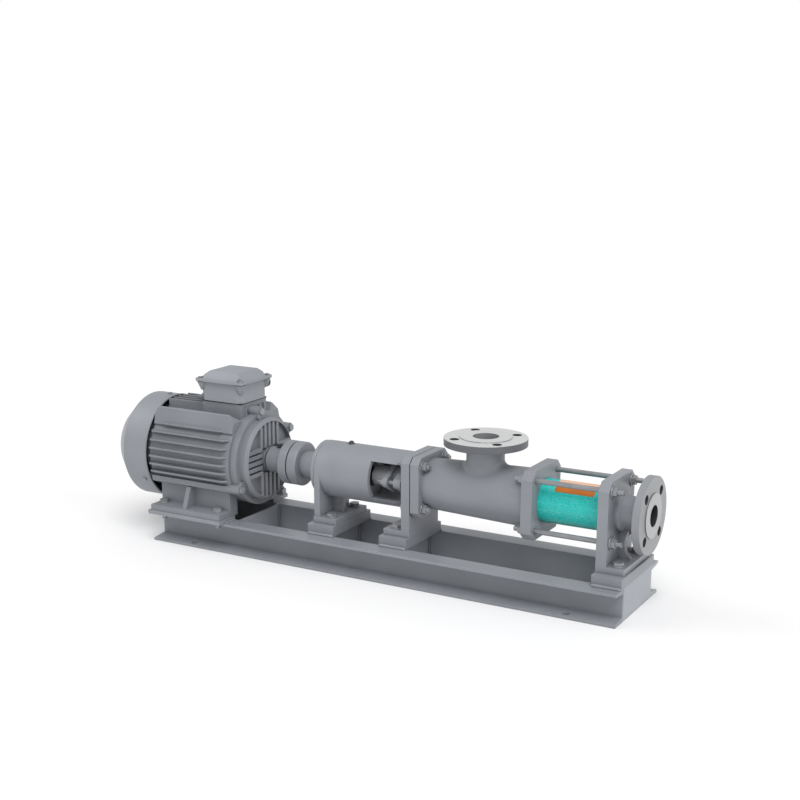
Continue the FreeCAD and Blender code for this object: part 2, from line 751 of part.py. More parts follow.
def drive_end_shield():
    """End shield with a ribbed hollow face and four bolt ears."""
    cap_edge = 6
    bearing_end = DRIVE_BEARING + MOTOR_BEARING_WIDTH
    outline = (
        (FRAME_R - S.shield_spigot, BEARING_BORE + 8),
        (FRAME_R - S.shield_spigot, S.frame_bore - 0.3),
        (FRAME_R, S.frame_bore - 0.3), (FRAME_R, S.shield_radius),
        (FRAME_R + S.shield_flange, S.shield_radius),
        (FRAME_R + S.shield_flange, S.shield_cap_radius),
        (CAP_FACE - cap_edge, S.shield_cap_radius),
        (CAP_FACE, S.shield_cap_radius - cap_edge),
        (CAP_FACE, S.motor_shaft_diameter / 2 + S.running_play),
        (bearing_end, S.motor_shaft_diameter / 2 + S.running_play),
        (bearing_end, BEARING_BORE), (FRAME_R - S.shield_spigot, BEARING_BORE),
    )
    plain = turned("drive_end_shield_body", outline)
    hollow = ring(FACE_HUB - 2, S.shield_cap_radius - FACE_RIM, CAP_FACE - FACE_DEPTH,
                  as_size(FACE_DEPTH + OVERCUT))
    ribs = common(fuse(*face_ribs(CAP_FACE - FACE_DEPTH - OVERCUT, as_size(FACE_DEPTH))),
                  ring(FACE_HUB - 3, S.shield_cap_radius - FACE_RIM + OVERCUT,
                       CAP_FACE - FACE_DEPTH - OVERCUT, as_size(FACE_DEPTH)))
    ears = shield_ears(FRAME_R, S.ear_height)
    holes = [
        stud_hole(4, S.ear_height + 20, FRAME_R - 10, *around(S.shield_bolt_circle, angle), "X")
        for angle in EAR_ANGLES
    ]
    return cut(fuse(cut(plain, hollow), ribs, *ears), *holes)


node(drive_end_shield(), "drive_end_shield")


COVER_ANGLES = (90, -30, 210)
COVER_SCREW_X = RIM - S.cover_screw


def rear_end_shield():
    """End shield behind the fan cover, with three lugs for the cover."""
    back = FRAME_L - 22
    outline = (
        (FRAME_L + S.shield_spigot, BEARING_BORE + 8),
        (FRAME_L + S.shield_spigot, S.frame_bore - 0.3),
        (FRAME_L, S.frame_bore - 0.3), (FRAME_L, S.frame_radius), (back, S.frame_radius - 8),
        (back - 6, BEARING_BORE + 12), (back - 6, 12 + S.free_play), (back, 12 + S.free_play),
        (back, BEARING_BORE), (FRAME_L + S.shield_spigot, BEARING_BORE),
    )
    lugs = []
    for angle in COVER_ANGLES:
        y, z = around(S.cover_radius - S.cover_wall - 8, angle)
        lugs.append(cylinder(8, FRAME_L - COVER_SCREW_X, COVER_SCREW_X - 8, y, z))
    lugs = common(group(*lugs), cylinder(S.cover_radius - S.cover_wall - 0.1, 40, back - 10))
    return cut(fuse(turned("rear_end_shield_body", outline), lugs), *cover_screw_holes())


def radial_rotation(degrees):
    """Turn that points a bar's length outwards at an angle about the shaft."""
    return FreeCAD.Rotation(FreeCAD.Vector(1, 0, 0), degrees - 90)


def radial_bar(kind, start, degrees, length, x, **sizes):
    """Cylinder or prism that runs outwards from a radius at an angle about the shaft."""
    thing = doc.addObject(kind, "radial")
    bind(thing, Height=length, **sizes)
    y, z = around(start, degrees)
    place(thing, x, y, z, radial_rotation(degrees))
    return thing


def cover_screw_holes():
    """Tapped holes of the fan cover's screws."""
    return [
        radial_bar("Part::Cylinder", S.cover_radius - 12, angle, as_size(14), COVER_SCREW_X,
                   Radius=2.5 + S.running_play)
        for angle in COVER_ANGLES
    ]


GRILLE_SLOTS = 12
SLOT_WIDTH = 5


def radial_slot(start, end, degrees, x):
    """Straight slot of the grille, from one radius to another."""
    slot = doc.addObject("Part::Box", "slot")
    bind(slot, Length=S.cover_wall * 3, Width=SLOT_WIDTH, Height=end - start)
    angle = math.radians(degrees)
    y = start * math.cos(angle) - SLOT_WIDTH / 2 * math.sin(angle)
    z = start * math.sin(angle) + SLOT_WIDTH / 2 * math.cos(angle)
    place(slot, x - S.cover_wall, y, AXIS + z, radial_rotation(degrees))
    return slot


def fan_cover():
    """Pressed cover with a bevelled back and a grille of slots."""
    wall = S.cover_wall
    back = RIM - S.cover_length
    bevel_start = RIM - S.cover_band
    bevel_end = back + 9
    outline = (
        (RIM, S.cover_radius), (bevel_start, S.cover_radius), (bevel_end, 77),
        (back + 2, 66), (back, 58), (back, 0), (back + wall, 0), (back + wall, 57.5),
        (back + 2 + wall, 64.5), (bevel_end + wall * 0.8, 75.5),
        (bevel_start + wall * 0.6, S.cover_radius - wall), (RIM, S.cover_radius - wall),
    )
    slots = [
        radial_slot(start, end, 360.0 * step / GRILLE_SLOTS, back)
        for start, end in ((14, 32), (38, 55)) for step in range(GRILLE_SLOTS)
    ]
    screws = [
        radial_bar("Part::Cylinder", S.cover_radius - 12, angle, as_size(14), COVER_SCREW_X,
                   Radius=2.5 + S.hole_play)
        for angle in COVER_ANGLES
    ]
    return cut(turned("fan_cover_shell", outline), *slots, *screws)


def cover_screw(angle):
    """Pan head screw of the fan cover."""
    shank = radial_bar("Part::Cylinder", S.cover_radius - 9, angle, as_size(9.5), COVER_SCREW_X,
                       Radius=2.5)
    head = radial_bar("Part::Cylinder", S.cover_radius, angle, as_size(3.2), COVER_SCREW_X,
                      Radius=4.6)
    return fuse(shank, head)


node(rear_end_shield(), "rear_end_shield")
node(fan_cover(), "fan_cover")
node(group(*[cover_screw(angle) for angle in COVER_ANGLES]), "fan_cover_screws")
node(group(*[
    bolt(8, S.ear_height + 10, FRAME_R + S.ear_height, *around(S.shield_bolt_circle, angle), "-X")
    for angle in EAR_ANGLES
]), "end_shield_bolts")

FOOT_TOP = MOTOR_FOOT + S.foot_thickness
node(group(*[
    bolt(10, S.foot_thickness + S.motor_pad_height + 16, x, side * S.foot_spacing_y / 2, FOOT_TOP, "-Z")
    for x in (REAR_HOLE, FRONT_HOLE) for side in (-1, 1)
]), "motor_foot_bolts")

CORE_L = CORE_MID - S.core_length / 2
CORE_SHAFT_RADIUS = 19
STATOR_CORE_BORE = S.motor_rotor_radius + S.air_gap
node(ring(STATOR_CORE_BORE, S.frame_bore, CORE_L, S.core_length), "motor_stator_core")


HEAD_LENGTH = (S.frame_length - S.core_length) / 2 - S.shield_spigot - S.winding_clearance
HEAD_INNER = S.motor_rotor_radius + 8
HEAD_OUTER = S.frame_bore - 9


def winding_head(start):
    """Bundle of winding ends beside the stator core."""
    return ring(HEAD_INNER, HEAD_OUTER, start, HEAD_LENGTH)


node(group(winding_head(CORE_L - HEAD_LENGTH), winding_head(CORE_L + S.core_length)),
     "motor_winding")
node(ring(CORE_SHAFT_RADIUS, S.motor_rotor_radius, CORE_L, S.core_length), "motor_rotor_core")



INNER_RING_SHARE = 0.4


def bearing_outer(start, inner, outer, width):
    """Outer half of a sealed bearing."""
    return ring(inner + (outer - inner) * INNER_RING_SHARE, outer, start, as_size(width))


def bearing_inner(start, inner, outer, width):
    """Inner half of a sealed bearing, clear of the outer half."""
    rise = (outer - inner) * INNER_RING_SHARE - S.free_play
    return ring(inner, inner + rise, start, as_size(width))


MOTOR_BEARINGS = (DRIVE_BEARING, REAR_BEARING)
MOTOR_SEAT = as_size(15)
motor_outer_rings = [
    bearing_outer(x, MOTOR_SEAT, as_size(BEARING_BORE), MOTOR_BEARING_WIDTH) for x in MOTOR_BEARINGS
]
node(group(*[
    bearing_inner(x, MOTOR_SEAT, as_size(BEARING_BORE), MOTOR_BEARING_WIDTH) for x in MOTOR_BEARINGS
]), "motor_bearing_inner_rings")


# Shafts and coupling

KEY_WIDTH = 8
KEY_RISE = 3.3
KEY_DEPTH = 4


def key(x, length, radius):
    """Parallel key that lies in its shaft and rises into the hub."""
    return bar_across(x, AXIS + radius - KEY_DEPTH, length, KEY_WIDTH, KEY_DEPTH + KEY_RISE)


MOTOR_SHAFT_END = SHOULDER + S.shaft_extension
MOTOR_RADIUS = S.motor_shaft_diameter / 2
FAN_L = RIM - 72
FAN_BLADES = 8
FAN_BLADE = 2.5
MOTOR_TAIL = as_size(12)
MOTOR_KEY = (MOTOR_HUB_L + 4, 36, MOTOR_RADIUS)


def motor_shaft():
    """Stepped shaft of the motor, from the fan to the coupling."""
    outline = (
        (FAN_L - 4, 0), (FAN_L - 4, MOTOR_TAIL), (REAR_BEARING - 1, MOTOR_TAIL),
        (REAR_BEARING - 1, MOTOR_SEAT),
        (REAR_BEARING + MOTOR_BEARING_WIDTH, MOTOR_SEAT),
        (REAR_BEARING + MOTOR_BEARING_WIDTH, CORE_SHAFT_RADIUS),
        (DRIVE_BEARING, CORE_SHAFT_RADIUS), (DRIVE_BEARING, MOTOR_SEAT),
        (DRIVE_BEARING + MOTOR_BEARING_WIDTH, MOTOR_SEAT),
        (DRIVE_BEARING + MOTOR_BEARING_WIDTH, MOTOR_RADIUS),
        (MOTOR_SHAFT_END - 1.5, MOTOR_RADIUS), (MOTOR_SHAFT_END, MOTOR_RADIUS - 1.5),
        (MOTOR_SHAFT_END, 0),
    )
    return cut(turned("motor_shaft_body", outline), key(*MOTOR_KEY))


def cooling_fan():
    """Fan with straight blades in front of a back plate."""
    blade_root = S.fan_hub - 2
    hub = ring(MOTOR_TAIL, S.fan_hub, FAN_L, S.fan_length)
    plate = ring(blade_root, S.fan_radius - 14, FAN_L + S.fan_length - 4, FAN_BLADE)
    blades = []
    for step in range(FAN_BLADES):
        degrees = 360 / FAN_BLADES * step
        angle = math.radians(degrees)
        across, out = FAN_BLADE / 2, blade_root
        blade = box(0, 0, 0, S.fan_length - 4, FAN_BLADE, S.fan_radius - blade_root)
        blade.Placement.Rotation = FreeCAD.Rotation(FreeCAD.Vector(1, 0, 0), degrees)
        place(blade, FAN_L + 2, -across * math.cos(angle) - out * math.sin(angle),
              AXIS - across * math.sin(angle) + out * math.cos(angle))
        blades.append(blade)
    return fuse(hub, plate, *blades)


node(motor_shaft(), "motor_shaft")
node(cooling_fan(), "cooling_fan")

PUMP_SHAFT_RADIUS = 14
MOTOR_SCREW_X = MOTOR_HUB_L + 20.5
PUMP_SCREW_X = PUMP_HUB_R - 17.5
PUMP_KEY = (PUMP_HUB_R - 40, 36, as_size(PUMP_SHAFT_RADIUS))
RECESS = 17
JAW_INNER = 17.5
JAW_OUTER = 34
JAW_HALF_ANGLE = 24
LEG_HALF_ANGLE = 5


def wedge(degrees, half_angle, start, length):
    """Slice of a pie about the shaft."""
    reach = 60
    outline = [(0, 0)]
    for edge in (degrees - half_angle, degrees + half_angle):
        outline.append((reach * math.cos(math.radians(edge)), reach * math.sin(math.radians(edge))))
    return extruded("wedge", "X", outline, length, x=start, z=AXIS)


def sectors(inner, outer, half_angle, angles, start, length):
    """Parts of a ring at several angles about the shaft."""
    return [
        common(ring(inner, outer, start, length), wedge(angle, half_angle, start, length))
        for angle in angles
    ]


def motor_coupling_half():
    """Hub and disc on the motor shaft, with a recess and three jaws."""
    disc_l = MOTOR_DISC_R - S.disc_length
    edge = 3
    outline = (
        (MOTOR_HUB_L, MOTOR_RADIUS), (MOTOR_HUB_L, S.coupling_hub_radius - 1),
        (MOTOR_HUB_L + 1, S.coupling_hub_radius), (disc_l, S.coupling_hub_radius),
        (disc_l, S.coupling_disc_radius - edge), (disc_l + edge, S.coupling_disc_radius),
        (MOTOR_DISC_R - 1.5, S.coupling_disc_radius), (MOTOR_DISC_R, S.coupling_disc_radius - 1.5),
        (MOTOR_DISC_R, JAW_OUTER), (MOTOR_DISC_R - RECESS, JAW_OUTER),
        (MOTOR_DISC_R - RECESS, MOTOR_RADIUS),
    )
    jaws = sectors(as_size(JAW_INNER), as_size(JAW_OUTER + 1), JAW_HALF_ANGLE, (90, 210, 330),
                   MOTOR_DISC_R - RECESS - 1, as_size(RECESS - 1))
    hole = cylinder(4, 30, MOTOR_SCREW_X, 0, AXIS, "Z")
    body = fuse(turned("motor_half", outline), *jaws)
    return cut(body, key(MOTOR_KEY[0] - 6, 60, MOTOR_RADIUS), hole)


def pump_coupling_half():
    """Hub and disc on the pump shaft, with three jaws that reach into the motor half."""
    disc_r = PUMP_DISC_L + S.disc_length
    edge = 3
    outline = (
        (PUMP_DISC_L, PUMP_SHAFT_RADIUS), (PUMP_DISC_L, S.coupling_disc_radius - 1.5),
        (PUMP_DISC_L + 1.5, S.coupling_disc_radius), (disc_r - edge, S.coupling_disc_radius),
        (disc_r, S.coupling_disc_radius - edge), (disc_r, S.coupling_hub_radius),
        (PUMP_HUB_R - 1, S.coupling_hub_radius), (PUMP_HUB_R, S.coupling_hub_radius - 1),
        (PUMP_HUB_R, PUMP_SHAFT_RADIUS),
    )
    jaws = sectors(as_size(JAW_INNER), as_size(JAW_OUTER - 0.5), JAW_HALF_ANGLE, (30, 150, 270),
                   PUMP_DISC_L - RECESS, as_size(RECESS + 1))
    hole = cylinder(4, 30, PUMP_SCREW_X, 0, AXIS, "-Z")
    body = fuse(turned("pump_half", outline), *jaws)
    return cut(body, key(PUMP_KEY[0] - 60, 100, as_size(PUMP_SHAFT_RADIUS)), hole)


def coupling_spider():
    """Rubber star between the jaws of the two halves."""
    start = MOTOR_DISC_R - RECESS + 0.5
    length = as_size(RECESS - 2)
    legs = sectors(as_size(JAW_INNER - 1), as_size(JAW_OUTER - 0.5), LEG_HALF_ANGLE,
                   range(0, 360, 60), start, length)
    return fuse(ring(MOTOR_RADIUS + 0.6, as_size(JAW_INNER - 0.5), start, length), *legs)


def set_screw(x, radius, along):
    """Headed screw that holds a hub on its shaft."""
    sign = 1 if along == "Z" else -1
    shank = cylinder(3.9, S.coupling_hub_radius - radius + 2, x, 0, AXIS + sign * radius, along)
    head_z = AXIS + sign * (S.coupling_hub_radius + 2)
    return fuse(shank, cylinder(7, 4.5, x, 0, head_z, along))


node(key(*MOTOR_KEY), "motor_shaft_key")
node(key(*PUMP_KEY), "pump_shaft_key")
node(motor_coupling_half(), "motor_coupling_half")
node(pump_coupling_half(), "pump_coupling_half")
node(coupling_spider(), "coupling_spider")
node(set_screw(MOTOR_SCREW_X, MOTOR_RADIUS + KEY_RISE, "Z"), "motor_half_screw")
node(set_screw(PUMP_SCREW_X, as_size(PUMP_SHAFT_RADIUS), "-Z"), "pump_half_screw")


# Bearing housing

LEFT_BEARING = HOUSING_L + 3
RIGHT_BEARING = HOUSING_L + 80
INNER_WALL_L = HOUSING_L + 101
INNER_WALL_R = HOUSING_L + 107
SEAL_RADIUS = 24
SPIGOT_RADIUS = as_size(48)
SPIGOT_DEPTH = as_size(6)
COVER_BOLT_RADIUS = 43
COVER_BOLT_ANGLES = (45, 135, 225, 315)
GREASE_X = HOUSING_L + 56
GREASE_SEAT = AXIS + S.housing_radius - 1
GREASE_RADIUS = 6.5
POCKET_PLAY = 1.5
POCKET_DEPTH = 14
SEAL_WIDTH = 8


def bearing_housing():
    """Cast housing: bearing barrel, two arms beside the window, square flange and two feet."""
    outer = S.housing_radius
    outline = (
        (HOUSING_L, S.bearing_outer), (HOUSING_L, outer - 1.5), (HOUSING_L + 1.5, outer),
        (BRACKET_L + 1, outer), (BRACKET_L + 1, S.window_cavity), (INNER_WALL_R, S.window_cavity),
        (INNER_WALL_R, SEAL_RADIUS), (INNER_WALL_L, SEAL_RADIUS), (INNER_WALL_L, S.bearing_outer),
    )
    shell = turned("housing_shell", outline)
    half = S.window_height / 2
    window = box(BARREL_R, -outer - 5, AXIS - half, BRACKET_L - BARREL_R, outer * 2 + 10,
                 S.window_height)
    flange = chamfered_square("bracket_flange", BRACKET_L, S.bracket_thickness, S.bracket_side,
                              S.bracket_chamfer)
    foot_drop = AXIS - PAD_TOP
    left_leg = bar_across(HOUSING_L + 1.5, PAD_TOP, S.leg_thickness, outer * 2, foot_drop)
    left_foot = bar_across(HOUSING_L + 1.5, PAD_TOP, S.foot_flange_length - 4, S.bracket_side,
                           S.foot_height)
    left_fin = bar_across(HOUSING_L + 8, PAD_TOP, as_size(30), 11, foot_drop - outer * 0.9)
    right_leg = bar_across(BRACKET_L, PAD_TOP, S.bracket_thickness, S.bracket_side, foot_drop)
    right_foot = bar_across(BRACKET_R - S.foot_flange_length, PAD_TOP, S.foot_flange_length,
                            S.bracket_side, S.foot_height)
    right_fin = bar_across(BRACKET_L - 28, PAD_TOP, as_size(30), 11, foot_drop - outer * 0.9)
    solid = fuse(cut(shell, window), flange, left_leg, left_foot, left_fin, right_leg,
                 right_foot, right_fin)
    inside = [
        cylinder(S.bearing_outer, INNER_WALL_L - HOUSING_L + OVERCUT, HOUSING_L - OVERCUT),
        cylinder(SEAL_RADIUS, as_size(20), INNER_WALL_L - 5),
        cylinder(S.window_cavity, BRACKET_L - INNER_WALL_R, INNER_WALL_R),
        cylinder(S.stuffing_radius + 0.5, S.bracket_thickness * 2, BRACKET_L - 2),
        cylinder(SPIGOT_RADIUS + 0.3, SPIGOT_DEPTH + OVERCUT, BRACKET_R - SPIGOT_DEPTH),
    ]
    bolts = [
        stud_hole(5, S.bracket_thickness * 3, BRACKET_L - 18, y, z, "X")
        for y, z in corners(S.bracket_bolt)
    ]
    feet = [
        stud_hole(6, as_size(40), x, side * S.foot_bolt_y, PAD_TOP - 5, "Z")
        for x in (LEFT_BOLT, RIGHT_BOLT) for side in (-1, 1)
    ]
    pockets = [
        cylinder(FLATS[10] / math.sqrt(3) + POCKET_PLAY, POCKET_DEPTH, BRACKET_L - POCKET_DEPTH, y, z)
        for y, z in corners(S.bracket_bolt)
    ]
    cover_holes = [
        cylinder(4 + S.running_play, 22, HOUSING_L - 2, *around(as_size(COVER_BOLT_RADIUS), angle))
        for angle in COVER_BOLT_ANGLES
    ]
    grease = cylinder(5 + S.running_play, 30, GREASE_X, 0, AXIS + S.bearing_outer - 5, "Z")
    grease_seat = cylinder(GREASE_RADIUS + 1, 10, GREASE_X, 0, GREASE_SEAT, "Z")
    return cut(solid, *inside, *bolts, *pockets, *feet, *cover_holes, grease, grease_seat)


node(bearing_housing(), "bearing_housing")


def bearing_cover():
    """Cover with a seal seat and a spigot against the left bearing."""
    outline = (
        (COVER_L, SEAL_RADIUS), (COVER_L, 33), (COVER_L + 4, 35), (COVER_L + 4, 48),
        (COVER_L + 5.5, S.bearing_cover_radius), (HOUSING_L, S.bearing_cover_radius),
        (HOUSING_L, S.bearing_outer - 0.2), (LEFT_BEARING, S.bearing_outer - 0.2),
        (LEFT_BEARING, 31), (COVER_L + SEAL_WIDTH, 31), (COVER_L + SEAL_WIDTH, SEAL_RADIUS),
    )
    holes = [
        stud_hole(4, 30, COVER_L - 5, *around(as_size(COVER_BOLT_RADIUS), angle), "X")
        for angle in COVER_BOLT_ANGLES
    ]
    return cut(turned("bearing_cover_body", outline), *holes)


node(bearing_cover(), "bearing_cover")
node(group(*[
    bolt(8, 25, COVER_L + 4, *around(as_size(COVER_BOLT_RADIUS), angle), "X")
    for angle in COVER_BOLT_ANGLES
]), "bearing_cover_bolts")
node(group(
    ring(S.bearing_seat + S.running_play, as_size(SEAL_RADIUS), COVER_L, as_size(SEAL_WIDTH)),
    ring(S.bearing_seat + S.running_play, as_size(SEAL_RADIUS), INNER_WALL_L, as_size(6)),
), "oil_seals")
PUMP_BEARINGS = (LEFT_BEARING, RIGHT_BEARING)
pump_outer_rings = [
    bearing_outer(x, S.bearing_seat, S.bearing_outer, S.bearing_width) for x in PUMP_BEARINGS
]
node(group(*motor_outer_rings, *pump_outer_rings), "bearing_outer_rings")
node(group(*[
    bearing_inner(x, S.bearing_seat, S.bearing_outer, S.bearing_width) for x in PUMP_BEARINGS
]), "pump_bearing_inner_rings")
SPACER_L = LEFT_BEARING + S.bearing_width
node(ring(as_size(32), S.bearing_outer, SPACER_L, RIGHT_BEARING - SPACER_L), "bearing_spacer")


def grease_plug():
    """Round headed plug over the bearings."""
    shank = cylinder(5, 12, GREASE_X, 0, GREASE_SEAT - 12, "Z")
    return fuse(shank, cone(GREASE_RADIUS, 4, 6, GREASE_X, 0, GREASE_SEAT, "Z"))


node(grease_plug(), "grease_plug")
FOOT_BOLTS = (
    (LEFT_BOLT, S.foot_bolt_y), (RIGHT_BOLT, S.foot_bolt_y), (OUTLET_BOLT, S.outlet_bolt_y),
)
node(group(*[
    bolt(12, as_size(24), x, side * y, PAD_TOP + S.foot_height, "-Z")
    for x, y in FOOT_BOLTS for side in (-1, 1)
]), "pump_foot_bolts")


# Shaft seal

STUFF_L = BRACKET_R - S.stuffing_reach
GLAND_R = STUFF_L - S.gland_gap
GLAND_L = GLAND_R - S.gland_flange
PACKING_BORE = S.sleeve_radius + S.packing_section
PACKING_R = BRACKET_R - 8
PACKING_L = PACKING_R - S.packing_section * S.packing_count


def oval_flange(x, length, middle_radius):
    """Two bolt flange whose ears point to the front and the rear."""
    ear = 11
    reach = S.gland_bolt_y
    outline = (
        (-reach - 2, -ear + 1), (-14, -middle_radius + 4), (14, -middle_radius + 4),
        (reach + 2, -ear + 1), (reach + 2, ear - 1), (14, middle_radius - 4),
        (-14, middle_radius - 4), (-reach - 2, ear - 1),
    )
    web = extruded("oval", "X", outline, length, x=x, z=AXIS)
    ears = [cylinder(ear, length, x, side * reach) for side in (-1, 1)]
    return fuse(web, cylinder(middle_radius, length, x), *ears)


def stuffing_box():
    """Packing housing with an oval flange and a disc held between the square flanges."""
    body = fuse(
        oval_flange(STUFF_L, S.stuffing_flange, S.stuffing_radius),
        cylinder(S.stuffing_radius, BRACKET_R - STUFF_L, STUFF_L),
        cylinder(SPIGOT_RADIUS, SPIGOT_DEPTH, BRACKET_R - SPIGOT_DEPTH),
    )
    bore = cylinder(PACKING_BORE, PACKING_R - STUFF_L + OVERCUT, STUFF_L - OVERCUT)
    throat = cylinder(S.sleeve_radius + S.free_play, as_size(20), PACKING_R - 5)
    studs = [
        cylinder(4 + S.running_play, S.stuffing_flange + 2 * OVERCUT, STUFF_L - OVERCUT,
                 side * S.gland_bolt_y)
        for side in (-1, 1)
    ]
    return cut(body, bore, throat, *studs)


def gland_follower():
    """Oval follower whose nose presses the packing."""
    nose = cylinder(PACKING_BORE - 0.2, PACKING_L - GLAND_L, GLAND_L)
    body = fuse(oval_flange(GLAND_L, S.gland_flange, S.stuffing_radius - 1), nose)
    bore = cylinder(S.sleeve_radius + S.free_play, as_size(80), GLAND_L - 10)
    studs = [
        stud_hole(4, 30, GLAND_L - 5, side * S.gland_bolt_y, AXIS, "X") for side in (-1, 1)
    ]
    return cut(body, bore, *studs)


GLAND_NUT = 6.5
node(stuffing_box(), "stuffing_box")
node(gland_follower(), "gland_follower")
node(group(*[
    fuse(cylinder(4, STUFF_L + S.stuffing_flange - GLAND_L + 14, GLAND_L - 14, side * S.gland_bolt_y),
         hexagon(13, GLAND_NUT, GLAND_L - GLAND_NUT, side * S.gland_bolt_y, AXIS, "X"))
    for side in (-1, 1)
]), "gland_studs")
node(group(*[
    ring(S.sleeve_radius + S.running_play, PACKING_BORE, PACKING_L + S.packing_section * i,
         S.packing_section - 0.1)
    for i in range(int(float(S.packing_count)))
]), "packing_rings")


# Pump shaft, joint rod and rotor

HEAD_L = JOINT_A - 18
SLEEVE_L = INNER_WALL_R + 8


def pump_shaft():
    """Stepped shaft that ends in the head of the left joint."""
    coupling_end = PUMP_DISC_L + 3
    head_r = JOINT_A + 14
    outline = (
        (coupling_end, 0), (coupling_end, PUMP_SHAFT_RADIUS - 1),
        (coupling_end + 1, PUMP_SHAFT_RADIUS), (COVER_L - 1, PUMP_SHAFT_RADIUS),
        (COVER_L - 1, S.bearing_seat), (SPACER_L, S.bearing_seat), (SPACER_L, 18),
        (RIGHT_BEARING, 18), (RIGHT_BEARING, S.bearing_seat), (HEAD_L, S.bearing_seat),
        (HEAD_L, S.joint_head_radius - 2), (HEAD_L + 2, S.joint_head_radius),
        (head_r, S.joint_head_radius), (head_r, S.joint_bore_radius),
        (JOINT_A - 14.5, S.joint_bore_radius), (JOINT_A - 14.5, 0),
    )
    pin_hole = cylinder(S.joint_pin_radius + S.running_play, as_size(60), JOINT_A, 0, AXIS - 30, "Z")
    return cut(turned("pump_shaft_body", outline), key(*PUMP_KEY), pin_hole)


node(pump_shaft(), "pump_shaft")
node(ring(S.bearing_seat, S.sleeve_radius, SLEEVE_L, HEAD_L - SLEEVE_L), "shaft_sleeve")
node(cylinder(S.joint_pin_radius, S.joint_head_radius * 2 - 1, JOINT_A, 0,
              AXIS - S.joint_head_radius + 0.5, "Z"), "left_joint_pin")

ROTOR_Z = AXIS + S.eccentricity
TILT = math.degrees(math.asin(float(S.eccentricity) / float(S.rod_length)))
ROTOR_HEAD_R = JOINT_B + 18
ROTOR_R = STATOR_R + S.rotor_overhang


def joint_rod():
    """Rod between the joints, tilted by the eccentricity, with a cross hole in each end."""
    end = S.rod_end_radius
    rod = turned("joint_rod_body", (
        (-13, 0), (-13, end - 3), (-10, end), (10, end), (16, S.rod_radius),
        (S.rod_length - 16, S.rod_radius), (S.rod_length - 10, end), (S.rod_length + 10, end),
        (S.rod_length + 13, end - 3), (S.rod_length + 13, 0),
    ), z=0)
    holes = [
        cylinder(S.joint_pin_radius + S.joint_pin_play, as_size(60), x, 0, as_size(-30), "Z")
        for x in (as_size(0), S.rod_length)
    ]
    drilled = cut(rod, *holes)
    place(drilled, JOINT_A, 0, AXIS, FreeCAD.Rotation(FreeCAD.Vector(0, 1, 0), -TILT))
    return drilled


node(joint_rod(), "joint_rod")
node(cylinder(S.joint_pin_radius, S.joint_head_radius * 2 - 1, JOINT_B, 0,
              ROTOR_Z - S.joint_head_radius + 0.5, "Z"), "right_joint_pin")


# Lays a shape drawn along Z down along X, its X pointing up and its Y to the front
LAY_ALONG_X = FreeCAD.Rotation(FreeCAD.Vector(0, 0, 1), FreeCAD.Vector(0, -1, 0),
                               FreeCAD.Vector(1, 0, 0), "ZYX")
HELIX_L = STATOR_L - 8
Z_WAY = FreeCAD.Vector(0, 0, 1)
X_WAY = FreeCAD.Vector(1, 0, 0)


def slot_sweep(length):
    """Two start helical slot of the stator, drawn along Z."""
    half = float(S.rotor_radius) + float(S.bore_clearance)
    reach = 2 * float(S.eccentricity)
    profile = Part.Wire([
        Part.makeLine(vector(-reach, half, 0), vector(reach, half, 0)),
        Part.Arc(vector(reach, half, 0), vector(reach + half, 0, 0),
                 vector(reach, -half, 0)).toShape(),
        Part.makeLine(vector(reach, -half, 0), vector(-reach, -half, 0)),
        Part.Arc(vector(-reach, -half, 0), vector(-reach - half, 0, 0),
                 vector(-reach, half, 0)).toShape(),
    ])
    spine = Part.Wire(Part.makeLine(FreeCAD.Vector(), vector(0, 0, length)))
    guide = Part.makeHelix(2 * float(S.rotor_pitch), length, float(S.stator_radius))
    sweep = Part.BRepOffsetAPI.MakePipeShell(spine)
    sweep.setAuxiliarySpine(Part.Wire(guide.Edges), True, 0)
    sweep.add(profile, False, False)
    sweep.build()
    sweep.makeSolid()
    return sweep.shape()


def rotor_sweep(length):
    """Round section of the rotor carried along its helix, drawn along Z."""
    offset = float(S.eccentricity)
    sweep = Part.BRepOffsetAPI.MakePipeShell(
        Part.Wire(Part.makeHelix(float(S.rotor_pitch), length, offset).Edges))
    sweep.setTrihedronMode(FreeCAD.Vector(), Z_WAY)
    circle = Part.makeCircle(float(S.rotor_radius), vector(offset, 0, 0), Z_WAY)
    sweep.add(Part.Wire(circle), False, False)
    sweep.build()
    sweep.makeSolid()
    return sweep.shape()


def along_shaft(radius, start, end, z):
    """Plain cylinder along the shaft at a level."""
    return Part.makeCylinder(float(radius), float(end) - float(start), vector(start, 0, z), X_WAY)


def helical_rotor():
    """Helical rotor with a neck and a round head that holds the joint."""
    helix = rotor_sweep(float(ROTOR_R - HELIX_L))
    helix.Placement = FreeCAD.Placement(vector(HELIX_L, 0, ROTOR_Z), LAY_ALONG_X)
    head_l = JOINT_B - 14
    neck = along_shaft(S.rotor_radius - 2, ROTOR_HEAD_R - 2, HELIX_L + 2, ROTOR_Z)
    head = along_shaft(S.joint_head_radius, head_l, ROTOR_HEAD_R, ROTOR_Z)
    bore = along_shaft(S.joint_bore_radius, head_l - OVERCUT, JOINT_B + 14.5, ROTOR_Z)
    pin = Part.makeCylinder(float(S.joint_pin_radius + S.running_play), 60,
                            vector(JOINT_B, 0, ROTOR_Z - 30), Z_WAY)
    thing = doc.addObject("Part::Feature", "rotor_shape")
    thing.Shape = helix.fuse([neck, head]).cut(bore).cut(pin)
    return thing


def stator_lining():
    """Rubber lining with its helical bore."""
    slot = slot_sweep(float(STATOR_R - HELIX_L) + 4)
    slot.Placement = FreeCAD.Placement(vector(HELIX_L, 0, AXIS), LAY_ALONG_X)
    body = along_shaft(S.stator_radius - S.stator_wall, STATOR_L, STATOR_R, AXIS)
    thing = doc.addObject("Part::Feature", "lining_shape")
    thing.Shape = body.cut(slot)
    return thing


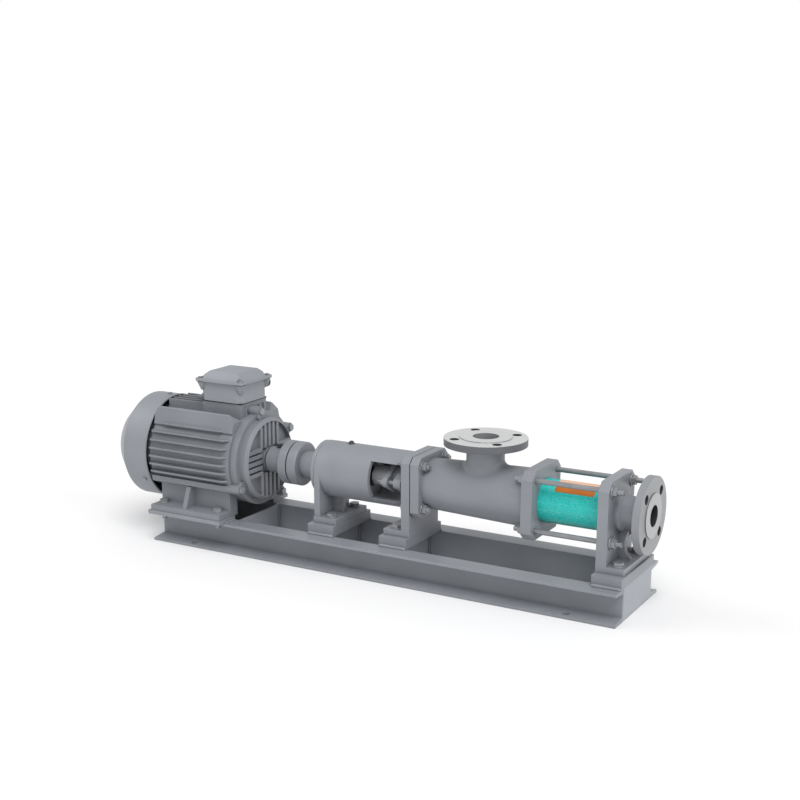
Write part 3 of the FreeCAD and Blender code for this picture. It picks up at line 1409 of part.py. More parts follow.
def joint_boot(start, sections, wall):
    """Rubber boot through round sections, each a place along the shaft, a rise and a radius."""
    skins = []
    for inset in (0, float(wall)):
        rings = []
        for x, rise, radius in sections:
            circle = Part.makeCircle(float(radius) - inset, vector(start + x, 0, AXIS + rise), X_WAY)
            rings.append(Part.Wire(circle))
        skins.append(Part.makeLoft(rings, True, True))
    thing = doc.addObject("Part::Feature", "boot")
    thing.Shape = skins[0].cut(skins[1])
    return thing


BOOT_OVER_HEAD = S.joint_head_radius + S.free_play + S.boot_wall
BOOT_OVER_ROD = S.rod_radius + S.free_play + S.boot_wall
RISE_PER_MM = float(S.eccentricity) / float(S.rod_length)
node(group(joint_boot(JOINT_A, (
    (as_size(-2), 0, BOOT_OVER_HEAD), (as_size(16), 0, BOOT_OVER_HEAD),
    (as_size(30), 30 * RISE_PER_MM, BOOT_OVER_ROD + 0.3),
    (as_size(40), 40 * RISE_PER_MM, BOOT_OVER_ROD + 0.3),
), S.boot_wall), joint_boot(JOINT_B, (
    (as_size(-40), S.eccentricity - 40 * RISE_PER_MM, BOOT_OVER_ROD + 0.3),
    (as_size(-30), S.eccentricity - 30 * RISE_PER_MM, BOOT_OVER_ROD + 0.3),
    (as_size(-16), S.eccentricity, BOOT_OVER_HEAD), (as_size(2), S.eccentricity, BOOT_OVER_HEAD),
), S.boot_wall)), "joint_boots")
node(helical_rotor(), "helical_rotor")
node(stator_lining(), "stator_lining")


# Stator tube and tie rods

node(ring(S.stator_radius - S.stator_wall, S.stator_radius, STATOR_L, STATOR_R - STATOR_L),
     "stator_tube")


ROD_L = END_PLATE_L - 19
ROD_R = OUTLET_R + 22
WASHER_RADIUS = 9.5
WASHER_THICKNESS = 2
NUT_LENGTH = 8


def nut(x, y, z, along):
    """Washer and hexagon nut that sit on a face and point away from it."""
    sign = 1 if along == "X" else -1
    return fuse(cylinder(WASHER_RADIUS, WASHER_THICKNESS, x, y, z, along),
                hexagon(FLATS[10], NUT_LENGTH, x + sign * WASHER_THICKNESS, y, z, along))


node(group(*[
    fuse(cylinder(S.tie_rod_radius, ROD_R - ROD_L, ROD_L, y, z), nut(END_PLATE_L, y, z, "-X"),
         nut(OUTLET_R, y, z, "X"))
    for y, z in corners(S.tie_rod_offset)
]), "tie_rods")


# Suction casing

def suction_casing():
    """Cast chamber with the inlet on top and a square flange at each end."""
    left_end = CASING_L + S.bracket_thickness
    outer = cone(S.casing_left_radius, S.casing_right_radius, END_PLATE_L - left_end + 4,
                 left_end - 2)
    neck = cylinder(S.inlet_neck, S.inlet_height - 4, S.inlet_x, 0, AXIS, "Z")
    inlet_top = AXIS + S.inlet_height
    under = inlet_top - S.inlet_flange
    flange = cylinder(S.inlet_flange_radius, S.inlet_flange - S.raised_face, S.inlet_x, 0, under, "Z")
    face = cylinder(50, S.inlet_flange, S.inlet_x, 0, under, "Z")
    left = chamfered_square("casing_left_flange", CASING_L, S.bracket_thickness, S.bracket_side,
                            S.bracket_chamfer)
    right = chamfered_square("casing_right_flange", END_PLATE_L, S.end_plate_thickness,
                             S.end_plate_side, S.end_plate_chamfer)
    solid = fuse(outer, neck, flange, face, left, right)
    solid = rounded(solid, 12, neck_edge)
    chamber_r = CASING_R - 16
    chamber = cone(S.casing_left_radius - S.casing_wall, S.casing_right_radius - S.casing_wall,
                   chamber_r - CASING_L + OVERCUT, CASING_L - OVERCUT)
    passage = cylinder(33, as_size(20), chamber_r - 2)
    seat = cylinder(S.stator_radius + S.running_play, S.stator_seat + OVERCUT, STATOR_L)
    inlet = cylinder(S.inlet_bore, S.inlet_height + OVERCUT, S.inlet_x, 0, AXIS, "Z")
    flange_holes = [
        cylinder(S.flange_hole / 2, 40, S.inlet_x + S.inlet_pcd / 2 * math.cos(math.radians(a)),
                 S.inlet_pcd / 2 * math.sin(math.radians(a)), under - 10, "Z")
        for a in (45, 135, 225, 315)
    ]
    left_bolts = [stud_hole(5, 40, CASING_L - 10, y, z, "X") for y, z in corners(S.bracket_bolt)]
    right_bolts = [
        stud_hole(5, 50, END_PLATE_L - 10, y, z, "X") for y, z in corners(S.tie_rod_offset)
    ]
    return cut(solid, chamber, passage, seat, inlet, *flange_holes, *left_bolts, *right_bolts)


def neck_edge(edge):
    """Edges where the inlet neck meets the chamber and the flange."""
    box_ = edge.BoundBox
    about_neck = abs(box_.Center.x - float(S.inlet_x)) < 3 and abs(box_.Center.y) < 3
    wide = abs(box_.YLength - 2 * float(S.inlet_neck)) < 1
    return about_neck and wide and box_.ZMin > float(AXIS) + 5


node(suction_casing(), "suction_casing")


def joint_gasket():
    """Flat gasket between the two square flanges."""
    sheet = chamfered_square("gasket_sheet", BRACKET_R, S.gasket, S.bracket_side - 7,
                             S.bracket_chamfer)
    bore = cylinder(S.casing_left_radius - S.casing_wall, 10, BRACKET_R - 4)
    holes = [stud_hole(5, 20, BRACKET_R - 8, y, z, "X") for y, z in corners(S.bracket_bolt)]
    return cut(sheet, bore, *holes)


node(joint_gasket(), "joint_gasket")
JOINT_GRIP = S.bracket_thickness * 2 + S.gasket
node(group(*[
    fuse(bolt(10, JOINT_GRIP + 15, BRACKET_L, y, z, "X"),
         nut(CASING_L + S.bracket_thickness, y, z, "X"))
    for y, z in corners(S.bracket_bolt)
]), "joint_bolts")


# Outlet casing

def outlet_casing():
    """Upright plate with a foot, a nozzle with its flange and a curved web."""
    half = S.end_plate_side / 2
    chamfer = S.end_plate_chamfer
    drop = AXIS - PAD_TOP
    outline = (
        (-half, -drop), (half, -drop), (half, half - chamfer), (half - chamfer, half),
        (-half + chamfer, half), (-half, half - chamfer),
    )
    plate = extruded("outlet_plate", "X", outline, S.outlet_plate, x=OUTLET_L, z=AXIS)
    foot = bar_across(OUTLET_L, PAD_TOP, S.outlet_plate + S.outlet_foot_length - 16,
                      S.end_plate_side, S.foot_height)
    flange_l = OUTLET_FACE - S.outlet_flange
    nozzle = turned("nozzle", (
        (OUTLET_R - 2, 0), (OUTLET_R - 2, S.nozzle_radius + 6), (OUTLET_R + 6, S.nozzle_radius + 6),
        (OUTLET_R + 12, S.nozzle_radius + 1), (OUTLET_R + 34, S.nozzle_radius),
        (flange_l - 6, S.nozzle_radius + 1), (flange_l, S.nozzle_radius + 6),
        (flange_l, S.outlet_flange_radius), (OUTLET_FACE - S.raised_face, S.outlet_flange_radius),
        (OUTLET_FACE - S.raised_face, 42), (OUTLET_FACE, 42), (OUTLET_FACE, 0),
    ))
    web = extruded("outlet_web", "Y", (
        (OUTLET_R - 2, PAD_TOP + 6), (OUTLET_R + 30, PAD_TOP + 6), (OUTLET_R + 14, PAD_TOP + 24),
        (OUTLET_R + 10, PAD_TOP + 44), (OUTLET_R + 16, PAD_TOP + 62),
        (OUTLET_R + 30, AXIS - S.nozzle_radius + 4), (OUTLET_R - 2, AXIS),
    ), 10, y=-5)
    solid = fuse(plate, foot, nozzle, web)
    seat = cylinder(S.stator_radius + S.running_play, S.stator_seat + OVERCUT, OUTLET_L - OVERCUT)
    mouth = cylinder(30, 8, STATOR_R - 1)
    throat = cone(30, S.outlet_bore, 30, STATOR_R + 6)
    bore = cylinder(S.outlet_bore, S.outlet_length + 20, STATOR_R + 20)
    flange_holes = [
        cylinder(S.flange_hole / 2, 40, flange_l - 10, *around(S.outlet_pcd / 2, a), "X")
        for a in (45, 135, 225, 315)
    ]
    rod_holes = [stud_hole(5, 40, OUTLET_L - 5, y, z, "X") for y, z in corners(S.tie_rod_offset)]
    feet = [
        stud_hole(6, 40, OUTLET_BOLT, side * S.outlet_bolt_y, PAD_TOP - 5, "Z") for side in (-1, 1)
    ]
    return cut(solid, seat, mouth, throat, bore, *flange_holes, *rod_holes, *feet)


node(outlet_casing(), "outlet_casing")


# Terminal box and lifting eye

BOX_R = BOX_L + S.box_length
BOX_TOP = SEAT_Z + S.box_height
GASKET_SHEET = 1.5
LUG_LENGTH = 18
LUG_TIP = 4
LUG_RADIUS = 12
LUG_INSET = 4
LID_SCREW_DEPTH = 7.5
GLAND_X = BOX_R - 24
GLAND_Z = SEAT_Z + 24


def box_block(name, inset, low, height):
    """Upright block with the box's cut corners, set in from the box's sides."""
    length, width = S.box_length / 2 - inset, S.box_width / 2 - inset
    cut_off = S.box_chamfer - as_size(inset) * (2 - math.sqrt(2))
    return extruded(name, "Z", (
        (-length + cut_off, -width), (length - cut_off, -width), (length, -width + cut_off),
        (length, width - cut_off), (length - cut_off, width), (-length + cut_off, width),
        (-length, width - cut_off), (-length, -width + cut_off),
    ), height, x=BOX_MID, z=low)


def terminal_box():
    """Cast box, open on top, with a wire hole below and a gland hole at the rear."""
    outer = box_block("box_outer", 0, SEAT_Z, S.box_height)
    inner = box_block("box_inner", S.box_wall, SEAT_Z + S.box_wall, S.box_height)
    posts = [
        cone(LUG_TIP, LUG_RADIUS, LUG_LENGTH, x, y, BOX_TOP - LUG_LENGTH, "Z")
        for x, y in lid_screw_places(LUG_INSET)
    ]
    tapped = [
        cylinder(2.5 + S.running_play, LUG_LENGTH, x, y, BOX_TOP - LID_SCREW_DEPTH - 1, "Z")
        for x, y in lid_screw_places()
    ]
    wires = cylinder(16, 20, BOX_MID, 0, SEAT_Z - 5, "Z")
    gland = cylinder(8 + S.running_play, 20, GLAND_X, S.box_width / 2 - 12, GLAND_Z, "Y")
    return cut(fuse(outer, *posts), inner, *tapped, wires, gland)


def upright_edge(edge):
    """Edges that stand upright."""
    return edge.BoundBox.ZLength > float(S.lid_flange) - 1


def lid_screw_places(inset=0.5):
    """Four places in the corners of the box, set in from its sides."""
    return [
        (BOX_MID + sx * (S.box_length / 2 - inset), sy * (S.box_width / 2 - inset))
        for sx in (-1, 1) for sy in (-1, 1)
    ]


def terminal_lid():
    """Lid with a bevelled top."""
    base = BOX_TOP + GASKET_SHEET
    over = S.lid_overhang
    rim = bar_across(BOX_L - over, base, S.box_length + over * 2, S.box_width + over * 2,
                     S.lid_flange)
    rim = rounded(rim, 9, upright_edge)
    top = doc.addObject("Part::Wedge", "lid_top")
    half_l = S.box_length / 2 + over / 3
    half_w = S.box_width / 2 + over / 3
    bind(top, Xmin=-half_l, Xmax=half_l, Zmin=-half_w, Zmax=half_w, Ymin=0,
         Ymax=S.lid_height - S.lid_flange + OVERCUT, X2min=-half_l + 20, X2max=half_l - 20,
         Z2min=-half_w + 15, Z2max=half_w - 15)
    place(top, BOX_MID, 0, base + S.lid_flange - OVERCUT,
          FreeCAD.Rotation(FreeCAD.Vector(1, 0, 0), 90))
    scallops = [
        cylinder(8, S.lid_height, x, y, base + S.lid_flange, "Z") for x, y in lid_screw_places()
    ]
    hollow = bar_across(BOX_L + 14, base - OVERCUT, S.box_length - 28, S.box_width - 28,
                        S.lid_flange + OVERCUT)
    screws = [
        stud_hole(2.5, S.lid_height, x, y, base - 5, "Z") for x, y in lid_screw_places()
    ]
    return cut(fuse(rim, cut(top, *scallops)), hollow, *screws)


node(terminal_box(), "terminal_box")
node(terminal_lid(), "terminal_box_lid")
node(cut(box_block("gasket_outer", 1, BOX_TOP, GASKET_SHEET),
         box_block("gasket_inner", S.box_wall, BOX_TOP - OVERCUT, GASKET_SHEET + 2 * OVERCUT)),
     "terminal_box_gasket")
node(group(*[
    bolt(5, GASKET_SHEET + S.lid_flange + LID_SCREW_DEPTH, x, y,
         BOX_TOP + GASKET_SHEET + S.lid_flange, "-Z")
    for x, y in lid_screw_places()
]), "terminal_lid_screws")


def terminal_board():
    """Block with six terminal studs."""
    board = bar_across(BOX_MID - 26, SEAT_Z + S.box_wall, 52, 44, 10)
    studs = [
        hexagon(5, 22, BOX_MID + column * 16, row * 10, SEAT_Z + S.box_wall + 8, "Z")
        for column in (-1, 0, 1) for row in (-1, 1)
    ]
    return fuse(board, *studs)


node(terminal_board(), "terminal_board")


def cable_gland():
    """Gland in the rear wall: thread, hexagon body and domed nut, with a through bore."""
    wall_y = S.box_width / 2
    thread = cylinder(8, 9, GLAND_X, wall_y - S.box_wall - 4, GLAND_Z, "Y")
    body = hexagon(24, 8, GLAND_X, wall_y, GLAND_Z, "Y")
    dome = cylinder(11, 22, GLAND_X, wall_y + 8, GLAND_Z, "Y")
    bore = cylinder(5, 60, GLAND_X, wall_y - 20, GLAND_Z, "Y")
    return cut(fuse(thread, body, dome), bore)


node(cable_gland(), "cable_gland")


def lifting_eye():
    """Eye bolt on the frame's boss."""
    seat = SEAT_Z - 2
    eye = doc.addObject("Part::Torus", "eye")
    bind(eye, Radius1=11, Radius2=3.6)
    turn = FreeCAD.Rotation(Z_WAY, 20) * TURN["X"]
    place(eye, EYE_X, 0, seat + 16.5, turn)
    return fuse(cylinder(5, 12, EYE_X, 0, seat - 12, "Z"), cylinder(9, 4.5, EYE_X, 0, seat, "Z"), eye)


node(lifting_eye(), "lifting_eye")


# Checks and files

def check_document():
    """Stop when any object failed or any piece isn't a sound shape."""
    doc.recompute()
    for thing in doc.Objects:
        bad = {"Invalid", "Error"} & set(thing.State)
        if bad:
            raise RuntimeError(f"{thing.Name} ({thing.Label}) is {bad}")
    for thing in nodes:
        if thing.Shape.isNull() or not thing.Shape.isValid() or not thing.Shape.Solids:
            raise RuntimeError(f"{thing.Label} isn't a sound shape")


check_document()
os.makedirs("parts", exist_ok=True)
for thing in nodes:
    thing.Shape.exportStep(f"parts/{thing.Label}.step")
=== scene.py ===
"""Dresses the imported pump: paint, steel, rubber, welds, threads, washers, orange band and light.

Lengths are given in millimetres and turned into metres by MM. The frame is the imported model's:
+X runs from the motor to the outlet, -Y is the front and +Z is up. Colours are linear, and the
scales of textures are per metre.
"""
import bpy
import math
import random
from mathutils import Matrix, Vector


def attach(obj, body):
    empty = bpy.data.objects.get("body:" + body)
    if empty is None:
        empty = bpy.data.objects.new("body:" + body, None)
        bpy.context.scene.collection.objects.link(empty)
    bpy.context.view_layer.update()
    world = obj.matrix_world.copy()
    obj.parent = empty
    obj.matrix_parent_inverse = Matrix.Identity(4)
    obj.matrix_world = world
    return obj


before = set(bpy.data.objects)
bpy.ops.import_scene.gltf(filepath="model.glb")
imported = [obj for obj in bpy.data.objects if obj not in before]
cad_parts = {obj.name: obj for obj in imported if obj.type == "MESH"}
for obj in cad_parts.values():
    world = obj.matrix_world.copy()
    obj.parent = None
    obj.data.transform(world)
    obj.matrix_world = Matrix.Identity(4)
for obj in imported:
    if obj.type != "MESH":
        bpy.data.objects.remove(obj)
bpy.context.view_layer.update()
MM = 0.001
AXIS_Z = 183    # height of the axis that motor and pump share
random.seed(7)


# Materials

GREY = (0.222, 0.234, 0.256)    # paint of castings and base
PLATED = (0.31, 0.32, 0.335)    # bolts, nuts and tie rods
BOLT_HOLE_SHADE = (0.045, 0.047, 0.050)    # painted shade inside a bolt hole
SAMPLES = 4                     # rays of each look round an edge or into a corner
FLAT, SHARP = 0.995, 0.86       # cosine from true to rounded normal, off an edge and on it
CORNER_REACH = 8                # distance within which a surface nearby darkens a corner with painted shade
OPEN, ENCLOSED = 0.90, 0.25     # open share of the surroundings: no painted shade, and the most painted shade
WAVE_RATE = 20                  # radians per metre of a wave texture whose scale is 1
PALE_ABOVE = (220.6, 220.9)     # Z where the orange band turns paler

# Where a look changes along a flange's axis: from one distance to the other, measured from the
# ring of its face
BARE_FROM = (-0.3, -0.1)        # paint ends and turned metal begins
SHADED_STEP_FROM = (0.10, 0.25)      # painted shade on the step at the foot of the raised middle
RAISED_FROM = (1.5, 1.8)        # top of the raised middle
RIM_FROM = (-14.3, -13.8)       # back of the flange, from where the rim takes its painted shade
BORE_FROM = (-80, -60)          # deep end of the bore's painted shade
HOLE_EDGE = (9.35, 9.1)         # radii between which the painted shade of a bolt hole begins
BARE_ROUGHNESS, BARE_METAL = 0.40, 0.45


class Look:
    """A material built node by node around its Principled shader."""

    def __init__(self, name, colour, roughness, metallic=0.0):
        self.material = bpy.data.materials.new(name)
        self.material.use_nodes = True
        self.tree = self.material.node_tree
        self.shader = self.tree.nodes["Principled BSDF"]
        self.shader.inputs["Roughness"].default_value = roughness
        self.shader.inputs["Metallic"].default_value = metallic
        self.shader.inputs["Base Color"].default_value = (*colour, 1)
        self.place = self.add("ShaderNodeTexCoord").outputs["Object"]
        self.normal = None

    def add(self, kind, inputs=(), **settings):
        """New node with its settings, its inputs linked or given by value."""
        made = self.tree.nodes.new(kind)
        for name, value in settings.items():
            setattr(made, name, value)
        for name, value in dict(inputs).items():
            self.join(value, made.inputs[name])
        return made

    def join(self, value, socket):
        """Link an output to a socket, or set the socket to a number, vector or colour."""
        if isinstance(value, bpy.types.NodeSocket):
            self.tree.links.new(value, socket)
        elif isinstance(value, tuple) and socket.type == "RGBA":
            socket.default_value = (*value[:3], 1)
        else:
            socket.default_value = value

    def noise(self, scale, detail=2.0, roughness=0.5, place=None, output="Fac"):
        """Cloudy texture around 0.5."""
        made = self.add("ShaderNodeTexNoise", {
            "Vector": place or self.place, "Scale": scale, "Detail": detail,
            "Roughness": roughness})
        return made.outputs[output]

    def cells(self, scale, feature="F1", place=None, output="Distance"):
        """Distance from the middle of the nearest cell, or the cell's random colour."""
        made = self.add("ShaderNodeTexVoronoi", {
            "Vector": place or self.place, "Scale": scale}, feature=feature)
        return made.outputs[output]

    def stretched(self, x, y, z):
        """Coordinates scaled on each axis."""
        made = self.add("ShaderNodeMapping", {"Vector": self.place, "Scale": (x, y, z)})
        return made.outputs["Vector"]

    def math(self, operation, a, b):
        return self.add("ShaderNodeMath", {0: a, 1: b}, operation=operation).outputs[0]

    def vector(self, operation, a, b=(0.0, 0.0, 0.0)):
        """Vector arithmetic that gives a vector, or the number that the operation measures."""
        made = self.add("ShaderNodeVectorMath", {0: a, 1: b}, operation=operation)
        measures = operation in ("DOT_PRODUCT", "LENGTH", "DISTANCE")
        return made.outputs["Value" if measures else "Vector"]

    def span(self, value, low, high, new_low=0.0, new_high=1.0):
        """Map a value from one range to another, held at its ends."""
        made = self.add("ShaderNodeMapRange", {
            "Value": value, "From Min": low, "From Max": high, "To Min": new_low,
            "To Max": new_high})
        return made.outputs["Result"]

    def blend(self, factor, a, b):
        """Colour between a and b."""
        made = self.add("ShaderNodeMix", {0: factor, 6: a, 7: b}, data_type="RGBA")
        return made.outputs[2]

    def axis(self, name):
        """One coordinate of the place."""
        return self.add("ShaderNodeSeparateXYZ", {0: self.place}).outputs[name]

    def bump(self, height, depth, strength=1.0):
        """Raise the surface by a height map, depth in millimetres."""
        inputs = {"Height": height, "Distance": depth * MM, "Strength": strength}
        if self.normal is not None:
            inputs["Normal"] = self.normal
        self.normal = self.add("ShaderNodeBump", inputs).outputs["Normal"]

    def soft_edges(self, radius):
        """Round every edge in the shading, and return how near an edge the surface is."""
        made = self.add("ShaderNodeBevel", {"Radius": radius * MM}, samples=SAMPLES)
        self.normal = made.outputs["Normal"]
        true_normal = self.add("ShaderNodeNewGeometry").outputs["Normal"]
        return self.span(self.vector("DOT_PRODUCT", self.normal, true_normal), FLAT, SHARP)

    def done(self, colour, roughness=None):
        """Join what was made to the shader, and return the material."""
        self.join(colour, self.shader.inputs["Base Color"])
        if roughness is not None:
            self.join(roughness, self.shader.inputs["Roughness"])
        if self.normal is not None:
            self.join(self.normal, self.shader.inputs["Normal"])
        return self.material


def tinted(colour, factor):
    return tuple(c * factor for c in colour)


def enamel(name, colour=GREY, roughness=0.42, grain=0.10, grain_scale=420, waves=0.25, edge=1.0,
           scuff_and_highlight=1.75, corner_shade=0.70, flange=None):
    """Satin enamel: grain of the metal beneath, uneven tone, edges brightened by scuffs and by
    painted highlight, and corners darkened by painted shade.

    grain and waves are depths and edge is a radius. The factor that brightens the edges stands for
    scuffed paint and painted highlight, the one for corners is the most painted shade that a
    corner takes, and flange describes a face that is turned bare.
    """
    look = Look(name, colour, roughness)
    near_edge = look.soft_edges(edge)
    patches = look.noise(11, detail=3)
    fine = look.noise(grain_scale, 4, 0.6)
    broad = look.noise(55)
    tone = look.blend(look.span(patches, 0.35, 0.68), tinted(colour, 0.93), tinted(colour, 1.06))
    tone = look.blend(look.span(fine, 0.30, 0.75, 0, 0.35), tone, tinted(colour, 1.14))
    # Painted shade: ambient occlusion darkens corners and recesses towards half the colour, the
    # more the more enclosed they are.
    shade = look.add("ShaderNodeAmbientOcclusion", {"Distance": CORNER_REACH * MM},
                     samples=SAMPLES)
    corner = look.span(shade.outputs["AO"], ENCLOSED, OPEN, corner_shade, 0.0)
    tone = look.blend(corner, tone, tinted(colour, 0.50))
    # Edges brightened where the scuff noise lets them: partly scuffed paint, partly painted
    # highlight.
    scuffs = look.span(look.noise(130, detail=3), 0.38, 0.62, 0.15, 0.6)
    tone = look.blend(look.math("MULTIPLY", near_edge, scuffs), tone, tinted(colour, scuff_and_highlight))
    look.bump(broad, waves, 0.35)
    look.bump(fine, grain)
    rough = look.span(fine, 0.3, 0.7, roughness - 0.05, roughness + 0.10)
    if flange:
        tone, rough = turned_flange(look, tone, rough, flange)
    return look.done(tone, rough)


def turned_flange(look, tone, rough, flange):
    """Bare turned metal on the face of a flange, with painted shade darkening the step, the rim,
    the bore and the bolt holes.
    """
    axis_name, face = flange["along"], flange["face"]
    along = look.axis(axis_name)
    speckle = look.noise(700)

    def past(low, high):
        """Rises from 0 to 1 between two distances from the face."""
        return look.span(along, (face + low) * MM, (face + high) * MM)

    def speckled(colour):
        return look.blend(speckle, tinted(colour, 0.93), tinted(colour, 1.07))

    bare, rim = past(*BARE_FROM), past(*RIM_FROM)
    # Painted shade on the rim: the flange's side takes the darker rim colour.
    tone = look.blend(rim, tone, flange["rim"])
    tone = look.blend(bare, tone, speckled(flange["ring"]))
    # Painted shade on the step up to the raised middle.
    tone = look.blend(past(*SHADED_STEP_FROM), tone, tinted(flange["ring"], 0.35))
    tone = look.blend(past(*RAISED_FROM), tone, speckled(flange["middle"]))

    moved = look.vector("SUBTRACT", look.place, tuple(c * MM for c in flange["centre"]))
    across = tuple(0.0 if c == axis_name else 1.0 for c in "XYZ")
    off_axis = look.vector("MULTIPLY", moved, across)
    # Painted shade inside the bore, ending deep down.
    bore = look.span(look.vector("LENGTH", off_axis), (flange["bore"] + 0.25) * MM,
                     (flange["bore"] + 0.05) * MM)
    bore = look.math("MULTIPLY", bore, past(*BORE_FROM))
    tone = look.blend(bore, tone, flange["inside"])

    # Painted shade on the walls of the bolt holes.
    one_hole = tuple(c * flange["holes"] / math.sqrt(2) * MM for c in across)
    from_hole = look.vector("DISTANCE", look.vector("ABSOLUTE", off_axis), one_hole)
    hole = look.span(from_hole, HOLE_EDGE[0] * MM, HOLE_EDGE[1] * MM)
    tone = look.blend(look.math("MULTIPLY", hole, rim), tone, BOLT_HOLE_SHADE)

    bare = look.math("MULTIPLY", bare, look.math("SUBTRACT", 1.0, bore))
    rough = look.add("ShaderNodeMix", {0: bare, 2: rough, 3: BARE_ROUGHNESS}).outputs[0]
    look.join(look.math("MULTIPLY", bare, BARE_METAL), look.shader.inputs["Metallic"])
    grooves = look.add("ShaderNodeTexWave", {
        "Vector": moved, "Scale": 320, "Distortion": 0.4, "Detail": 2},
        wave_type="RINGS", rings_direction=axis_name).outputs["Fac"]
    look.bump(look.math("MULTIPLY", grooves, bare), 0.05)
    return tone, rough


def steel(name, colour, roughness, metallic=0.9, brush=(1, 1, 1), depth=0.03, edge=0.5):
    """Bare or plated metal with fine marks: a brush below 1 on an axis draws them out along it."""
    look = Look(name, colour, roughness, metallic)
    near_edge = look.soft_edges(edge)
    marks = look.noise(160, 4, 0.6, look.stretched(*brush))
    stain = look.noise(28, detail=3)
    tone = look.blend(look.span(stain, 0.35, 0.7), tinted(colour, 0.82), tinted(colour, 1.08))
    tone = look.blend(look.span(marks, 0.3, 0.75, 0, 0.5), tone, tinted(colour, 0.8))
    # Painted highlight: edges brightened by a third.
    tone = look.blend(look.math("MULTIPLY", near_edge, 0.5), tone, tinted(colour, 1.35))
    look.bump(marks, depth)
    return look.done(tone, look.span(stain, 0.3, 0.7, roughness - 0.06, roughness + 0.12))


def rubber(name, colour, roughness=0.62, grain=0.04):
    """Matt rubber or plastic with a fine grain and a little dust."""
    look = Look(name, colour, roughness)
    look.soft_edges(0.6)
    dust = look.noise(40, detail=3)
    look.bump(look.noise(900, detail=3), grain)
    tone = look.blend(look.span(dust, 0.45, 0.8, 0, 0.5), colour, tinted(colour, 2.0))
    return look.done(tone, look.span(dust, 0.3, 0.7, roughness - 0.08, roughness + 0.1))


def hammered(name, colour):
    """Hammered enamel: dimples with darker rims, dark flecks and faint pale specks of painted
    glint.
    """
    look = Look(name, colour, 0.30)
    look.soft_edges(0.8)
    shift = look.vector("MULTIPLY", look.noise(90, output="Color"), (0.006, 0.006, 0.006))
    dimples = look.cells(300, "SMOOTH_F1", look.vector("ADD", look.place, shift))
    flecks = look.noise(560, roughness=0.6)
    patches = look.noise(16)
    tone = look.blend(look.span(patches, 0.3, 0.7), tinted(colour, 0.90), tinted(colour, 1.08))
    tone = look.blend(look.span(dimples, 0.25, 0.75, 0, 0.45), tone, tinted(colour, 0.66))
    tone = look.blend(look.span(flecks, 0.42, 0.30, 0, 0.5), tone, tinted(colour, 0.45))
    # Painted glints: pale specks at the middles of some cells.
    painted_glint = look.span(look.cells(620), 0.60, 0.30, 0, 0.27)
    chosen = look.span(look.cells(620, output="Color"), 0.50, 0.60)
    tone = look.blend(look.math("MULTIPLY", painted_glint, chosen), tone, (0.40, 0.82, 0.79))
    look.bump(dimples, 0.35, 0.6)
    look.bump(flecks, 0.05)
    look.shader.inputs["Specular IOR Level"].default_value = 0.35
    look.shader.inputs["Coat Weight"].default_value = 0.15
    look.shader.inputs["Coat Roughness"].default_value = 0.2
    return look.done(tone, look.span(dimples, 0.2, 0.8, 0.26, 0.42))


def vinyl(name, colour):
    """Plain band, paler in its upper part, a little uneven and scuffed."""
    look = Look(name, colour, 0.38)
    look.shader.inputs["Specular IOR Level"].default_value = 0.3
    wide = look.noise(45, detail=3)
    scuff = look.noise(260, 4, 0.7, look.stretched(0.2, 1, 1))
    tone = look.blend(look.span(wide, 0.3, 0.7), tinted(colour, 0.90), tinted(colour, 1.06))
    upper = look.span(look.axis("Z"), PALE_ABOVE[0] * MM, PALE_ABOVE[1] * MM)
    tone = look.blend(upper, tone, (0.78, 0.46, 0.30))
    tone = look.blend(look.span(scuff, 0.62, 0.75, 0, 0.35), tone, (0.75, 0.42, 0.22))
    look.bump(wide, 0.10, 0.3)
    return look.done(tone, look.span(scuff, 0.4, 0.7, 0.32, 0.5))


def banded(name, colour, dark, rate, direction, metallic=0.0, roughness=0.5):
    """Thin sheets or strands side by side, rate in radians per metre."""
    look = Look(name, colour, roughness, metallic)
    bands = look.add("ShaderNodeTexWave", {
        "Vector": look.place, "Scale": rate / WAVE_RATE, "Distortion": 0.3, "Detail": 1.0},
        wave_type="BANDS", bands_direction=direction).outputs["Fac"]
    tone = look.blend(bands, dark, colour)
    stain = look.span(look.noise(60, detail=3), 0.4, 0.7, 0, 0.4)
    tone = look.blend(stain, tone, tinted(colour, 0.7))
    look.bump(bands, 0.15)
    return look.done(tone)


# The flanges: their axis, where the outer ring of the face lies on it, the centre of the face, the
# radii of the bore and of the bolt circle, and the colours
# The bare metal of both faces is one metal: the inlet's pale ring and middle are painted light on
# a face turned up, the outlet's darker ones painted shade. The inlet's dark rim and the outlet's
# near black inside are painted shade as well.
INLET = {"along": "Z", "face": 288, "centre": (206.5, 0, 290), "bore": 25, "holes": 62.5,
         "ring": (0.68, 0.685, 0.69), "middle": (0.66, 0.665, 0.67), "rim": (0.105, 0.111, 0.122),
         "inside": (0.23, 0.235, 0.245)}
OUTLET = {"along": "X", "face": 539.5, "centre": (541.5, 0, AXIS_Z), "bore": 20, "holes": 55,
          "ring": (0.30, 0.305, 0.315), "middle": (0.42, 0.425, 0.435),
          "rim": (0.235, 0.245, 0.262), "inside": (0.030, 0.031, 0.033)}

# What the metal under the paint is like
CAST = {"grain": 0.16, "grain_scale": 330, "waves": 0.5, "edge": 1.4}
FINE_CAST = {"grain": 0.13, "grain_scale": 380, "waves": 0.4, "edge": 1.1}
ROLLED = {"grain": 0.06, "grain_scale": 300, "edge": 1.1}
SHEET = {"grain": 0.025, "grain_scale": 700, "waves": 0.2, "edge": 0.8}
TURNED = {"grain": 0.05, "grain_scale": 500, "waves": 0.1, "edge": 1.0}
LENGTHWISE, ROUND_THE_SHAFT = (0.2, 1, 1), (1, 0.15, 0.15)

